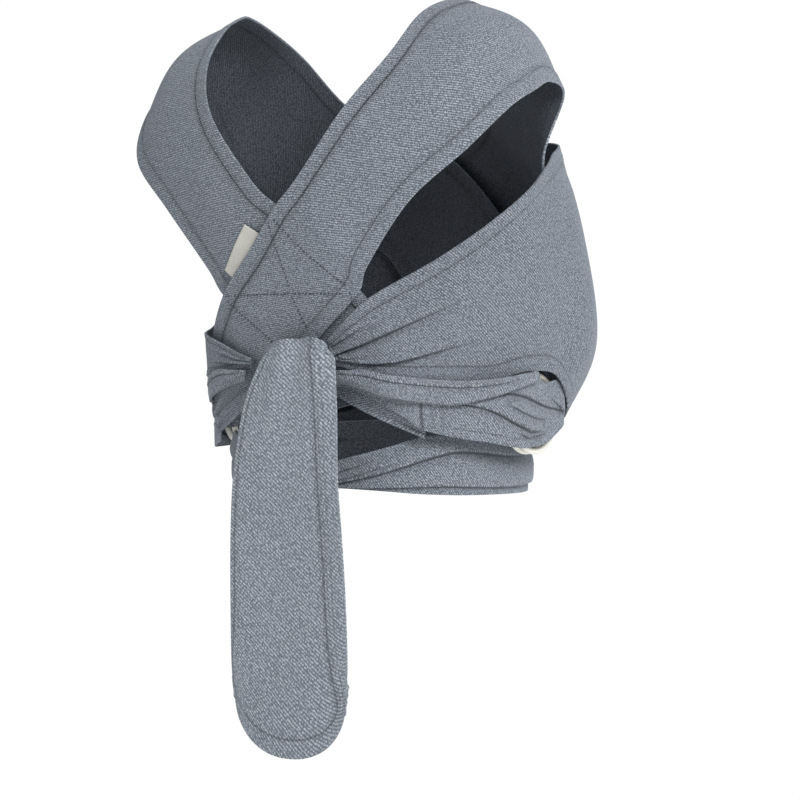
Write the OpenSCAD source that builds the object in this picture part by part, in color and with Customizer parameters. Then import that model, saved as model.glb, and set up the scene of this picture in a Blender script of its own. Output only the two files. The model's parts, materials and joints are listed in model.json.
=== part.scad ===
// Baby wrap sling: two shoulder bands crossing at the back, sling rings at the hips,
// a support panel over the front and a sash tied at the back.
// Millimetres. +Z up, the wearer faces +Y, the wearer's right is +X.
// Origin: centre of the wearer's waist.

/* [Overall size] */
// Width across both shoulder bands
overall_w = 434; // [360:1:520]
// Height of the shoulder band tops above the waist
shoulder_h = 426; // [360:1:480]
// Depth factor of the whole sling, front to back
depth_k = 1; // [0.9:0.01:1.15]

/* [Cloth] */
// Thickness of the folded cloth
cloth_t = 2.4; // [1.6:0.1:3]
// Gap between cloth layers, centre to centre
layer_gap = 6; // [5.6:0.1:7]
// Width of the shoulder bands as a share of the fitted width
band_k = 1; // [0.85:0.01:1.04]
// Thickness of the stitched thread rows
thread_t = 0.6; // [0.4:0.1:0.8]

/* [Sling rings] */
// Outside diameter of a ring
ring_od = 76; // [64:1:78]
// Thickness of the ring wire
ring_wire = 6; // [4:0.5:7]
// Centre to centre spacing of a pair of rings
ring_gap = 9; // [8:0.5:11]

/* [Tails] */
// Width of the tails
tail_w = 132; // [90:1:150]
// How far the outer tail hangs below the waist
tail_drop = 264; // [150:1:340]
// How much shorter the inner tail is
tail_step = 22; // [10:1:60]

/* [Hidden] */
$fn = 48;
fabric = [0.50, 0.53, 0.57];
thread = [0.42, 0.45, 0.49];
ivory = [0.86, 0.85, 0.80];
taupe = [0.70, 0.70, 0.67];

// The tables below are drawn for a sling 434 wide and 426 high; fit stretches them
fit = [overall_w / 434, depth_k, shoulder_h / 426];
tail_fit = tail_w / 132;

// Distance from the middle of the cloth to the middle of a thread row, 0.5 clear of its face
thread_off = cloth_t / 2 + 0.5 + thread_t / 2;

// Distances out from the body. Pairs are [right, left], read with left = 0 or 1
band_out = [layer_gap, 0];
hip_out = [6.5, -2.5];
front_tuck = 3; // the left, under band lies this much deeper at the front
panel_out = 12;
label_out = 3;

ring_centre = [164, 22, 49]; // middle of the right pair
ring_r = (ring_od - ring_wire) / 2;
loop_span = 50; // degrees of ring covered by a cloth loop
loop_gap = 0.8; // between wire and loop
loop_t = cloth_t * 0.85;
gather_r = ring_r - ring_wire / 2 - 7.5;

// ---- Curves ----

function unit(v) = v / max(1e-9, norm(v));
function lerp(a, b, t) = a + (b - a) * t;
function signed_pow(a, power) = sign(a) * pow(abs(a), power);
function fitted(p) = [p[0] * fit[0], p[1] * fit[1], p[2] * fit[2]];

// Cubic from b to c, with neighbours a and d
function cubic(a, b, c, d, t) = 0.5 * (2 * b + (c - a) * t
    + (2 * a - 5 * b + 4 * c - d) * t * t + (3 * b - a - 3 * c + d) * t * t * t);

// Smooth curve through a list of points, t from 0 to 1
function curve(points, t) = let (
    last = len(points) - 1,
    i = min(last - 1, max(0, floor(t * last))),
    before = i > 0 ? points[i - 1] : 2 * points[0] - points[1],
    after = i + 2 <= last ? points[i + 2] : 2 * points[last] - points[last - 1])
    cubic(before, points[i], points[i + 1], after, t * last - i);

// Smooth reading of a table of [key, value], held flat past its ends
function interval(table, key, i = 0) =
    key <= table[i + 1][0] || i >= len(table) - 2 ? i : interval(table, key, i + 1);
function table_at(table, key) = let (last = len(table) - 1)
    key <= table[0][0] ? table[0][1] :
    key >= table[last][0] ? table[last][1] :
    let (
        i = interval(table, key),
        a = table[i],
        b = table[i + 1],
        before = i > 0 ? table[i - 1][1] : 2 * a[1] - b[1],
        after = i < last - 1 ? table[i + 2][1] : b[1])
    cubic(before, a[1], b[1], after, (key - a[0]) / (b[0] - a[0]));

// ---- Body inside the sling ----

// [height, half width], [height, back depth] and [height, front depth]
half_widths = [[-40, 150], [40, 154], [88, 160], [160, 178], [235, 215], [330, 225]];
back_depths = [[-40, 106], [40, 112], [88, 119], [160, 133], [235, 156], [330, 150]];
front_depths = [[-40, 120], [30, 132], [70, 160], [128, 182], [195, 176], [272, 150], [320, 104]];
body_power = 2.5; // squareness of the body's level section

// Share of the full depth left at x
function depth_share(x, half_width) =
    pow(1 - pow(min(0.995, abs(x) / half_width), body_power), 1 / body_power);

// Points on the back and front of the body, moved out from it
function back(x, z, out) =
    [x, -(table_at(back_depths, z) + out) * depth_share(x, table_at(half_widths, z) + out), z];
function front(x, z, out) =
    [x, (table_at(front_depths, z) + out) * depth_share(x, table_at(half_widths, z) + out), z];

// Lays the [x, z] points of a row on the back; [x, y, z] points stay
function laid(row, out) = [for (p = row) len(p) == 2 ? back(p[0], p[1], out) : p];
// Straight line in [x, z] laid on the back
function back_line(from, to, steps, out) =
    laid([for (i = [0:steps]) lerp(from, to, i / steps)], out);

// ---- Sheets ----

function surface_at(rows, u, v) = fitted(curve([for (row = rows) curve(row, u)], v));
function quad(a, b, c, d) = [[a, b, c], [a, c, d]];

// Closed sheet over rows of points: u runs along the rows, v across them, each 0 to 1.
// steps is [along, across]; off moves the sheet towards cross(across, along).
module sheet(rows, thick, steps, across = [0, 1], along = [0, 1], off = 0) {
    du = 0.004;
    dv = 0.02;
    nu = steps[0];
    nv = steps[1];
    grid = [for (i = [0:nu]) for (j = [0:nv])
        [lerp(along[0], along[1], i / nu), lerp(across[0], across[1], j / nv)]];
    middle = [for (g = grid) surface_at(rows, g[0], g[1])];
    normals = [for (g = grid) let (u = g[0], v = g[1]) unit(cross(
        surface_at(rows, u, min(1, v + dv)) - surface_at(rows, u, max(0, v - dv)),
        surface_at(rows, min(1, u + du), v) - surface_at(rows, max(0, u - du), v)))];
    m = len(grid); // index shift to the second face
    w = nv + 1;
    points = [for (side = [1, -1]) for (k = [0:m - 1])
        middle[k] + normals[k] * (off + side * thick / 2)];
    faces = concat(
        [for (i = [0:nu - 1]) for (j = [0:nv - 1]) let (a = i * w + j, b = a + w)
            each quad(a, b, b + 1, a + 1)],
        [for (i = [0:nu - 1]) for (j = [0:nv - 1]) let (a = m + i * w + j, b = a + w)
            each quad(a, a + 1, b + 1, b)],
        [for (i = [0:nu - 1]) let (a = i * w, b = a + w) each quad(a, m + a, m + b, b)],
        [for (i = [0:nu - 1]) let (a = i * w + nv, b = a + w) each quad(a, b, m + b, m + a)],
        [for (j = [0:nv - 1]) each quad(j, j + 1, m + j + 1, m + j)],
        [for (j = [0:nv - 1]) let (a = nu * w + j) each quad(a, m + a, m + a + 1, a + 1)]);
    polyhedron(points, faces, convexity = 8);
}

module cloth(rows, steps) { color(fabric) sheet(rows, cloth_t, steps); }

// ---- Shoulder bands ----

// Right band edges, from the left hip up the back, over the right shoulder and down the front
// to the left hip. [x, z] points lie on the back (0 to 6) or front (14 to 17) of the body.
// The under band is the same, mirrored, with its neck edge moved on the back.
function neck_edge(left) = [
    [-122, 70], [-104, 116], [left ? -77 : -71, 160], [left ? -38 : -27.5, 198],
    [left ? -8 : 8, 235], [left ? 22 : 32, 259], [77, 321],
    [104, -120, 370], [112, -84, 408], [118, -50, 424], [124, -25, 426],
    [118, 5, 413], [105, 33, 391], [80, 70, 346],
    [44, 322], [-10, 290], [-56, 214], [-112, 122],
    [-160, 72, 62]];
arm_edge = [
    [-118, 28], [-62, 56], [0, 92], [41, 126], [79, 160], [93, 184], [140, 240],
    [186, -119, 284], [210, -86, 322], [217, -56, 339], [214, -24, 349],
    [207, 9, 338], [181, 16, 284], [160, 62, 238],
    [108, 214], [70, 164], [16, 112], [-78, 68],
    [-160, 76, 36]];
// Rise of the middle row over the shoulder, points 7 to 13
crown = [8, 15, 19, 20, 19, 15, 10];

// Point i of a band where it lies on the body; it starts closer in at the hip
function band_point(i, x, z, left) = let (out = band_out[left])
    i <= 6 ? back(x, z, i == 0 ? min(out, 2) : i == 1 ? min(out, 3.5) : out)
    : front(x, z, out - front_tuck * left);
function band_edge(edge, left) = [for (i = [0:len(edge) - 1]) let (p = edge[i])
    len(p) == 2 ? band_point(i, p[0], p[1], left) : p];

// Neck edge, middle and arm edge
function band_rows(left) = let (
    neck = band_edge(neck_edge(left), left),
    full = band_edge(arm_edge, left),
    last = len(neck) - 1,
    arm = [for (i = [0:last]) lerp(neck[i], full[i], band_k)],
    middle = [for (i = [0:last]) let (
        mid = (neck[i] + arm[i]) / 2,
        run = neck[min(last, i + 1)] - neck[max(0, i - 1)])
        len(arm_edge[i]) == 2 ? band_point(i, mid[0], mid[2], left)
        : mid + unit(cross(arm[i] - neck[i], run)) * (i == last ? 0 : crown[i - 7])])
    [neck, middle, arm];

module band(left) { cloth(band_rows(left), [72, 8]); }
module right_shoulder_band() { band(0); }
module left_shoulder_band() { mirror([1, 0, 0]) band(1); }

// A row of thread along each hem of a band, outside face
module band_stitching(left) {
    color(thread) for (v = [0.13, 0.855])
        sheet(band_rows(left), thread_t, [54, 1], across = [v, v + 0.015],
            along = [0.29, 0.79], off = thread_off);
}
module right_band_stitching() { band_stitching(0); }
module left_band_stitching() { mirror([1, 0, 0]) band_stitching(1); }

// Thread lines on the back crossing, outside face: [x, z] of both ends
cross_lines = [
    [[8, 224], [68, 163]], [[-69, 157], [67, 157]], [[1, 222], [1, 159]],
    [[1, 154], [1, 122]], [[-66, 153], [-12, 116]], [[67, 153], [12, 116]]];
cross_line_w = 1.2;
module cross_line(from, to) {
    dir = unit(to - from);
    half = [-dir[1], dir[0]] * cross_line_w / 2;
    rows = [for (side = [-half, half]) back_line(from + side, to + side, 6, layer_gap)];
    sheet(rows, thread_t, [6, 1], off = -thread_off - 0.3);
}
module back_cross_stitching() {
    color(thread) for (ends = cross_lines) cross_line(ends[0], ends[1]);
}

// Both long edges of the label, [x, z] of their ends
label_edges = [[[-31, 221.8], [-67.8, 181.1]], [[-13.5, 211.5], [-58.7, 172.7]]];
module label_tag() {
    rows = [for (ends = label_edges) back_line(ends[0], ends[1], 4, label_out)];
    color(taupe) sheet(rows, 0.8, [10, 3]);
}

// ---- Hip straps ----
// From here on, left-hand pieces are drawn on the right and mirrored;
// left = 1 gives their slightly different run.

// Top, middle and bottom row, from behind the knot to the rings.
// The right strap lies outside the band end, the left one inside it.
function hip_rows(left) = [for (row = [
    [[47, 80], [64, 79], [84, 76], [106, 73], [121, 72],
     [145 - 2 * left, -64 + 6 * left, 69], [158 - 3 * left, -45 + 2 * left, 73],
     [169 - 1.5 * left, -27 - left, 81]],
    [[47, 78], [64, 76], [84, 69], [106, 61], [121, 54],
     [147 - 4 * left, -65 + 7 * left, 51], [161 - 6 * left, -47 + 3 * left, 51],
     [172 - 4.5 * left, -28 - left, 51]],
    [[47, 76], [64, 72], [84, 62], [106, 48], [121, 36],
     [145 - 6 * left, -64 + 8 * left, 28 - 7 * left],
     [158 - 4 * left, -45 + 3 * left, 25 - 7 * left],
     [169 - 1.5 * left, -27 - left, 21 - 7 * left]]]) laid(row, hip_out[left])];

module hip_strap(left) { cloth(hip_rows(left), [28, 6]); }
module right_hip_strap() { hip_strap(0); }
module left_hip_strap() { mirror([1, 0, 0]) hip_strap(1); }

// Two rows of thread across the strap, inner face
module strap_seam(left) {
    color(thread) for (u = [0.575, 0.615])
        sheet(hip_rows(left), thread_t, [1, 6], across = [0.04, 0.96],
            along = [u, u + 0.008], off = -thread_off);
}
module right_strap_seam() { strap_seam(0); }
module left_strap_seam() { mirror([1, 0, 0]) strap_seam(1); }

// ---- Rings ----

// Moves its child to the right ring pair and turns its Z axis along X
module at_rings() {
    translate(fitted(ring_centre)) rotate([0, 90, 0]) children();
}

// side is 1 for the outer ring, -1 for the inner
module ring(side) {
    color(ivory) at_rings() translate([0, 0, side * ring_gap / 2])
        rotate_extrude($fn = 96) translate([ring_r, 0]) circle(d = ring_wire, $fn = 32);
}
module right_ring_outer() { ring(1); }
module right_ring_inner() { ring(-1); }
module left_ring_outer() { mirror([1, 0, 0]) ring(1); }
module left_ring_inner() { mirror([1, 0, 0]) ring(-1); }

// Slot outline round both wires of a pair
module wire_slot(r) {
    h = ring_gap / 2;
    union() {
        translate([0, h]) circle(r = r);
        translate([0, -h]) circle(r = r);
        translate([-r, -h]) square([2 * r, 2 * h]);
    }
}
// Loop of cloth round the ring wires; turn 0 is the rear, 180 the front
module ring_loop(turn) {
    inner_r = ring_wire / 2 + loop_gap;
    color(fabric) at_rings() rotate([0, 0, -90 + turn - loop_span / 2])
        rotate_extrude(angle = loop_span, $fn = 96) translate([ring_r, 0])
        difference() {
            wire_slot(inner_r + loop_t);
            wire_slot(inner_r);
        }
}
module right_ring_sleeve() { ring_loop(0); }
module left_ring_sleeve() { mirror([1, 0, 0]) ring_loop(0); }
module right_front_loop() { ring_loop(180); }
module left_front_loop() { mirror([1, 0, 0]) ring_loop(180); }

// Cloth gathered through the middle of the rings
module ring_gather() {
    color(fabric) at_rings() rotate_extrude($fn = 64)
        polygon([for (i = [0:24]) let (a = -90 + 180 * i / 24)
            [gather_r * pow(max(0, cos(a)), 0.5),
             (ring_gap / 2 + 3) * signed_pow(sin(a), 0.6)]]);
}
module right_ring_gather() { ring_gather(); }
module left_ring_gather() { mirror([1, 0, 0]) ring_gather(); }

// Cloth over the outer side of the rings, from the strap round their front:
// top, middle and bottom row
function wrap_rows(left) = [
    [[174, -22, 82], [176.2, -10, 84.5], [176.4, 8, 84], [176.4, 28, 77],
     [176.6, 46, 79], [176.8, 59, 72], [169.5, 66.6, 65], [159, 66.6, 62]],
    [[174, -22, 51], [176.2, -10, 51], [176.4, 8, 51], [176.4, 28, 51],
     [176.6, 46, 51], [176.8, 59, 51], [169.5, 66.9, 51], [159, 66.6, 51]],
    [[174, -22, 20 - 6 * left], [176.2, -10, 18.5 - 5 * left], [176.4, 8, 19.5 - 5 * left],
     [176.4, 28, 22 - 5 * left], [176.6, 46, 30 - 4 * left], [176.8, 59, 38 - 3 * left],
     [169.5, 66.6, 42], [159, 66.6, 44]]];
module ring_wrap(left) { cloth(wrap_rows(left), [28, 6]); }
module right_ring_wrap() { ring_wrap(0); }
module left_ring_wrap() { mirror([1, 0, 0]) ring_wrap(1); }

// ---- Support panel ----

// Four rows from the top edge to the bottom edge. The right half runs from the back to the
// front centre, the left half on to the back, where it is gathered lower than the right.
// [x, z] points lie on the back.
panel_right = [
    [[47, 116], [58, 126], [72, 138], [90, -123, 156], [130, -83, 188], [162, -50, 219],
     [183, -14, 251], [182, 20, 275], [170, 50, 288], [135, 115, 303], [70, 162, 310],
     [0, 180, 312]],
    [[47, 109], [60, 115], [76, 122], [100, -119, 134], [136, -84, 153], [165, -46, 174],
     [183, -6, 194], [187, 36, 208], [185, 78, 215], [146, 134, 222], [80, 187, 228],
     [0, 206, 230]],
    [[47, 102], [62, 103], [80, 104], [106, -117, 108], [138, -82, 119], [163, -42, 129],
     [179, -1, 138], [187, 42, 138], [188, 95, 118], [150, 151, 112], [80, 206, 110],
     [0, 222, 108]],
    [[47, 95], [62, 92], [82, 86], [106, 82], [136, -77, 80], [157, -36, 80],
     [177, 0, 89], [181.5, 40, 84], [174, 70, 52], [122, 114, 28], [64, 152, 21],
     [0, 166, 18]]];
panel_left = [
    [[-70, 162, 310], [-135, 115, 303], [-168, 62, 278], [-174, 38, 234], [-164, 4, 184],
     [-148, -31, 147], [-128, -80, 129], [-104, 122], [-80, 113], [-58, 104], [-42, 99]],
    [[-80, 187, 228], [-146, 134, 222], [-185, 78, 215], [-184, 36, 186], [-172, 0, 154],
     [-154, -35, 128], [-131, -79, 115], [-106, 110], [-80, 105], [-60, 100], [-42, 97]],
    [[-80, 206, 110], [-150, 151, 112], [-188, 95, 118], [-185, 42, 134], [-176, 2, 124],
     [-157, -37, 107], [-134, -78, 99], [-106, 98], [-80, 97], [-60, 95.5], [-42, 94.5]],
    [[-64, 152, 21], [-122, 114, 28], [-174, 70, 52], [-181.5, 40, 84], [-177, 0, 89],
     [-157, -36, 81], [-136, -77, 82], [-106, 86], [-82, 89], [-60, 91], [-42, 92.5]]];
panel_rows = [for (i = [0:3]) laid(concat(panel_right[i], panel_left[i]), panel_out)];

module support_panel() { cloth(panel_rows, [80, 12]); }
// Row of thread below the top edge, inner face
module panel_stitching() {
    color(thread) sheet(panel_rows, thread_t, [80, 1], across = [0.055, 0.062],
        along = [0.02, 0.98], off = -thread_off);
}

// ---- Sash ----

// Upper turn, from the knot to the top of the rings: top, middle and bottom row
function upper_rows(left) = [
    [back(47, 88, 17), back(64, 88, 17), back(84, 89, 17),
     back(106 - 4 * left, 84, 17 - 1.5 * left),
     [143 - 5 * left, -80 + 4 * left, 79 - 1.5 * left],
     [165 - 6 * left, -50 + 3 * left, 80 - 1.5 * left],
     [178.5 - 11.5 * left, -24 - 13 * left, 84 - 3 * left],
     [184.5 - 11 * left, 2 - 29 * left, 88 - 7 * left]],
    [back(47, 83, 19), back(64, 82, 20), back(84, 79, 20),
     back(106 - 4 * left, 74, 20 - 3 * left),
     [146 - 7 * left, -81 + 5 * left, 69],
     [168 - 8 * left, -51 + 3 * left, 72],
     [180.5 - 12.5 * left, -24 - 14 * left, 78 - 4 * left],
     [185.5 - 11 * left, 3 - 31 * left, 84 - 9 * left]],
    [back(47, 79, 17), back(64, 76, 17), back(84, 70, 17),
     back(106 - 4 * left, 64, 17 - 1.5 * left),
     [143 - 6 * left, -80 + 5 * left, 58],
     [165 - 6 * left, -50 + 3 * left, 64],
     [178.5 - 11.5 * left, -24 - 13 * left, 72 - 5 * left],
     [184.5 - 11 * left, 4 - 31 * left, 80 - 10 * left]]];
module upper_turn(left) { cloth(upper_rows(left), [28, 4]); }
module sash_upper_right() { upper_turn(0); }
module sash_upper_left() { mirror([1, 0, 0]) upper_turn(1); }

// Lower turn: [angle from the back, height] of its edges, the same on both sides
lower_top = [[0, -2], [30, 17], [55, 30], [90, 20], [125, 33], [150, 37], [180, 37]];
lower_bottom = [[0, -17], [30, -20], [55, -24], [90, -25], [135, -24], [180, -23]];
lower_half_w = 142;
lower_back = 127; // depths from its centre, at y = 20
lower_front = 110;
function lower_point(angle, z, out) = [
    (lower_half_w + out) * signed_pow(sin(angle), 0.9),
    20 - ((cos(angle) > 0 ? lower_back : lower_front) + out) * signed_pow(cos(angle), 0.9),
    z];
// Top, middle and bottom row, open by 6 degrees at the back; the middle stands out by 4
lower_rows = [for (k = [0:2]) [for (i = [0:24]) let (
    angle = 3 + 354 * i / 24,
    from_back = angle > 180 ? 360 - angle : angle,
    z = lerp(table_at(lower_top, from_back), table_at(lower_bottom, from_back), k / 2))
    lower_point(angle, z, k == 1 ? 4 : 0)]];

module sash_lower_turn() { cloth(lower_rows, [72, 4]); }
// Row of thread along the middle, inner face
module lower_turn_stitching() {
    color(thread) sheet(lower_rows, thread_t, [72, 1], across = [0.5, 0.53],
        along = [0.01, 0.99], off = -thread_off);
}

// Knot, a soft lump
knot_centre = [8, -139, 96];
knot_r = [33, 9, 22];
module knot() {
    nu = 28; // points round
    nv = 14; // steps from bottom to top
    n = nu * (nv - 1);
    pole = [0, 0, knot_r[2]];
    points = concat(
        [for (j = [1:nv - 1]) for (i = [0:nu - 1]) let (
            a = 360 * i / nu,
            b = -90 + 180 * j / nv,
            swell = 1 + 0.06 * sin(3 * a + 40) * cos(b),
            level = signed_pow(cos(b), 0.8))
            fitted(knot_centre + [
                knot_r[0] * swell * level * signed_pow(cos(a), 0.85),
                knot_r[1] * level * signed_pow(sin(a), 0.85),
                knot_r[2] * swell * signed_pow(sin(b), 0.9)])],
        [fitted(knot_centre - pole), fitted(knot_centre + pole)]);
    faces = concat(
        [for (j = [0:nv - 3]) for (i = [0:nu - 1]) let (a = j * nu + i, b = j * nu + (i + 1) % nu)
            each quad(a, a + nu, b + nu, b)],
        [for (i = [0:nu - 1]) [n, i, (i + 1) % nu]],
        [for (i = [0:nu - 1]) [n + 1, (nv - 2) * nu + (i + 1) % nu, (nv - 2) * nu + i]]);
    color(fabric) polyhedron(points, faces);
}

// ---- Tails ----

// Rounded end: how much shorter a tail is at the share q of its width
function round_end(q) = 60 * (1 - pow(1 - pow(abs(2 * q - 1), 2.2), 1 / 2.2));
function tail_x(left_x, right_x, q) = lerp(left_x, right_x, q) * tail_fit;

// Eleven rows from the left edge to the right edge, each from the knot down
outer_rows = [for (k = [0:10]) let (
    q = k / 10,
    end = round_end(q),
    drop = tail_drop,
    bulge = sin(180 * q))
    [[lerp(-6, 62, q), -153 - 3 * bulge, lerp(114, 119, q)],
     [lerp(-10, 71, q), -160 - 4 * bulge, lerp(97, 100, q)],
     [tail_x(-32, 71, q), -157 - 3 * bulge, 57],
     [tail_x(-49, 68, q), -150, 0],
     [tail_x(-56, 71, q), -146, -0.24 * drop],
     [tail_x(-57, 75, q), -144, -0.56 * drop + end * 0.1],
     [tail_x(-56, 76, q), -143, -0.8 * drop + end * 0.45],
     [tail_x(-53, 73, q), -143, -drop + end]]];
inner_rows = [for (k = [0:10]) let (
    q = k / 10,
    end = round_end(q) * 0.85,
    drop = tail_drop - tail_step)
    [[lerp(-20, 30, q), -130, 66],
     [tail_x(-34, 38, q), -127, 40],
     [tail_x(-50, 44, q), -126, 0],
     [tail_x(-58, 49, q), -126, -0.3 * drop],
     [tail_x(-60, 52, q), -126, -0.68 * drop + end * 0.3],
     [tail_x(-58, 52, q), -126, -drop + end]]];

module tail_outer() { cloth(outer_rows, [36, 10]); }
module tail_inner() { cloth(inner_rows, [36, 8]); }

// A row of thread near each side edge, rear face
module tail_stitching(rows, steps, start) {
    color(thread) for (v = [0.08, 0.86])
        sheet(rows, thread_t, [steps, 1], across = [v, v + 0.015],
            along = [start, 0.94], off = -thread_off);
}
module tail_outer_stitching() { tail_stitching(outer_rows, steps = 40, start = 0.12); }
module tail_inner_stitching() { tail_stitching(inner_rows, steps = 36, start = 0.08); }

right_shoulder_band();
left_shoulder_band();
right_band_stitching();
left_band_stitching();
back_cross_stitching();
label_tag();
right_hip_strap();
left_hip_strap();
right_strap_seam();
left_strap_seam();
right_ring_outer();
right_ring_inner();
left_ring_outer();
left_ring_inner();
right_ring_sleeve();
left_ring_sleeve();
right_front_loop();
left_front_loop();
right_ring_gather();
left_ring_gather();
right_ring_wrap();
left_ring_wrap();
support_panel();
panel_stitching();
sash_upper_right();
sash_upper_left();
sash_lower_turn();
lower_turn_stitching();
knot();
tail_outer();
tail_inner();
tail_outer_stitching();
tail_inner_stitching();
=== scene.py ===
"""Cloth carrier as worn: two shoulder bands crossing on the back, a support panel round the
front, sash turns, a knot with two hanging tails, and a pair of nylon rings at each hip.

The wearer faces +Y with the right hand at +X and up at +Z, so the knot is on the -Y side.
Shapes are worked out in millimetres and turned into metres when a mesh is made. A cloth piece
is a grid of points: the first axis runs along the piece, the second runs across it.
"""
import json
import math
import bmesh
import bpy
import numpy as np
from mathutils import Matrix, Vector

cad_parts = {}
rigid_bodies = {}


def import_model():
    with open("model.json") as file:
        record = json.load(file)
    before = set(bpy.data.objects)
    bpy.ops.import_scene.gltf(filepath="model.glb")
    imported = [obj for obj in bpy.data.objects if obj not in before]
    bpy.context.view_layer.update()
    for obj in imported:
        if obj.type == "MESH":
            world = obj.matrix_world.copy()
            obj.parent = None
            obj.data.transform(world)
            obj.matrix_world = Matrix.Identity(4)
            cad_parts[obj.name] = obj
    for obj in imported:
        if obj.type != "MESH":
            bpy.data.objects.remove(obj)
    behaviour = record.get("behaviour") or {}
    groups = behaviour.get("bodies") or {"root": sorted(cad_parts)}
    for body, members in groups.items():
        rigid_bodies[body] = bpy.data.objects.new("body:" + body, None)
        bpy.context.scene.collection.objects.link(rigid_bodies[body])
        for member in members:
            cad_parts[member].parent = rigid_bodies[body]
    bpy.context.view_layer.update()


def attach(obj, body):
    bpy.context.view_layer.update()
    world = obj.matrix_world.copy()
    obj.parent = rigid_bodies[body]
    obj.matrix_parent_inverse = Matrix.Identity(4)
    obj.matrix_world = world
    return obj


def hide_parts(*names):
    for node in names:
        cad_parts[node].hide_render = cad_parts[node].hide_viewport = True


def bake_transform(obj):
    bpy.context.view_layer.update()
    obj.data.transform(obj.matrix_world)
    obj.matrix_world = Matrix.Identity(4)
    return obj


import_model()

DETAIL = 1.0
RIGHT, LEFT = 1, -1

# Body that the cloth lies on: height z, then half width, back depth or front depth.
HALF_WIDTH = [[-40, 150], [40, 154], [88, 160], [160, 178], [235, 215], [330, 225]]
BACK_DEPTH = [[-40, 106], [40, 112], [88, 119], [160, 133], [235, 156], [330, 150]]
FRONT_DEPTH = [[-40, 120], [30, 132], [70, 160], [128, 182], [195, 176], [272, 150], [320, 104]]

# How far cloth stands off the body. The right band lies over the left one.
RIGHT_BAND_LIFT, LEFT_BAND_LIFT = 6, 0
RIGHT_STRAP_LIFT, LEFT_STRAP_LIFT = 6.5, -2.5
LABEL_LIFT = 3.2
PANEL_LIFT = 12

CLOTH_HALF = 0.75               # half thickness of a single cloth
SASH_HALF = 0.9
STITCH_LIFT = 0.12              # thread centre above the cloth face

BAND_HEM = 13.5
BAND_SEAMS = (1.8, 5.2)         # stitch rows, measured back from the hem's inner edge
PANEL_HEM = 13
PANEL_SEAMS = (1.6, 4.8)
TAIL_SEAMS = (3.0, 8.0)
TAIL_HEM_RIGHT, TAIL_HEM_LEFT, TAIL_HEM_END = 21, 4, 17
STRAP_SEAMS = (4.25, 4.5)       # in strap columns, beside the step at column 4

RING_CENTRE = np.array([164, 22, 49.0])


# ------------------------------------------------------------------ curves
def lerp(start, end, share):
    return start + (end - start) * share


def catmull(before, start, end, after, t):
    return 0.5 * (2 * start + (end - before) * t
                  + (2 * before - 5 * start + 4 * end - after) * t * t
                  + (3 * start - before - 3 * end + after) * t * t * t)


def spline(points, places):
    """Smooth curve through points (n + 1, ...) at places in 0..1 (m,) -> (m, ...)."""
    points = np.asarray(points, float)
    places = np.atleast_1d(np.asarray(places, float))
    last = len(points) - 1
    padded = np.concatenate([[2 * points[0] - points[1]], points,
                             [2 * points[last] - points[last - 1]]])
    span = np.clip(np.floor(places * last).astype(int), 0, last - 1)
    part = (places * last - span).reshape((-1,) + (1,) * (points.ndim - 1))
    return catmull(*(padded[span + k] for k in range(4)), part)


def lookup(table, key):
    """Smooth value from rows of (key, value), held constant past both ends."""
    if key <= table[0][0]:
        return table[0][1]
    if key >= table[-1][0]:
        return table[-1][1]
    i = 0
    while key > table[i + 1][0]:
        i += 1
    part = (key - table[i][0]) / (table[i + 1][0] - table[i][0])
    before = table[i - 1][1] if i > 0 else 2 * table[0][1] - table[1][1]
    after = table[i + 2][1] if i + 2 < len(table) else table[i + 1][1]
    return catmull(before, table[i][1], table[i + 1][1], after, part)


def smoothstep(start, end, x):
    t = np.clip((np.asarray(x, float) - start) / (end - start), 0, 1)
    return t * t * (3 - 2 * t)


def falloff(start, end, x):
    return 1 - smoothstep(start, end, x)


def bell(x, width):
    return np.exp(-(x / width) ** 2)


def signed_power(x, power):
    return np.sign(x) * np.abs(x) ** power


def roundness(x, half_width):
    """Share of the full body depth left at x."""
    share = min(0.995, abs(x) / half_width)
    return (1 - share ** 2.5) ** 0.4


def body_depth(table, x, z, lift):
    return (lookup(table, z) + lift) * roundness(x, lookup(HALF_WIDTH, z) + lift)


def on_back(x, z, lift):
    return [x, -body_depth(BACK_DEPTH, x, z, lift), z]


def on_front(x, z, lift):
    return [x, body_depth(FRONT_DEPTH, x, z, lift), z]


def noise(x, y, seed):
    """Smooth repeatable noise: two octaves of five sine waves."""
    out = np.zeros(np.broadcast(x, y).shape)
    random = np.random.default_rng(seed)
    height = frequency = 1.0
    for _ in range(2):
        for _ in range(5):
            heading = random.uniform(0, 2 * math.pi)
            phase = random.uniform(0, 2 * math.pi)
            rate = frequency * random.uniform(0.7, 1.4)
            wave = rate * (x * math.cos(heading) + y * math.sin(heading)) + phase
            out = out + height / 3 * np.sin(wave)
        height *= 0.5
        frequency *= 2.1
    return out


# ------------------------------------------------------------------- grids
def along_count(full):
    return int(full * DETAIL)


def across_count(full):
    return int(full * max(DETAIL, 0.7))


def surface(rows, along, across):
    """Rows (k, n, 3), each running along the piece -> grid (len(along), len(across), 3)."""
    curves = np.stack([spline(row, along) for row in rows])
    return np.swapaxes(spline(curves, across), 0, 1)


def normals(grid):
    normal = np.cross(np.gradient(grid, axis=1), np.gradient(grid, axis=0))
    return normal / np.maximum(np.linalg.norm(normal, axis=2, keepdims=True), 1e-9)


def push(grid, normal, offset):
    return grid + normal * np.asarray(offset)[..., None]


def mirror_x(grid):
    grid = grid.copy()
    grid[..., 0] *= -1
    return grid


def run_length(points, axis=0):
    """Distance travelled along an axis of points, starting from 0."""
    steps = np.linalg.norm(np.diff(points, axis=axis), axis=-1)
    return np.concatenate([np.zeros_like(steps.take([0], axis)), np.cumsum(steps, axis)], axis)


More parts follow.
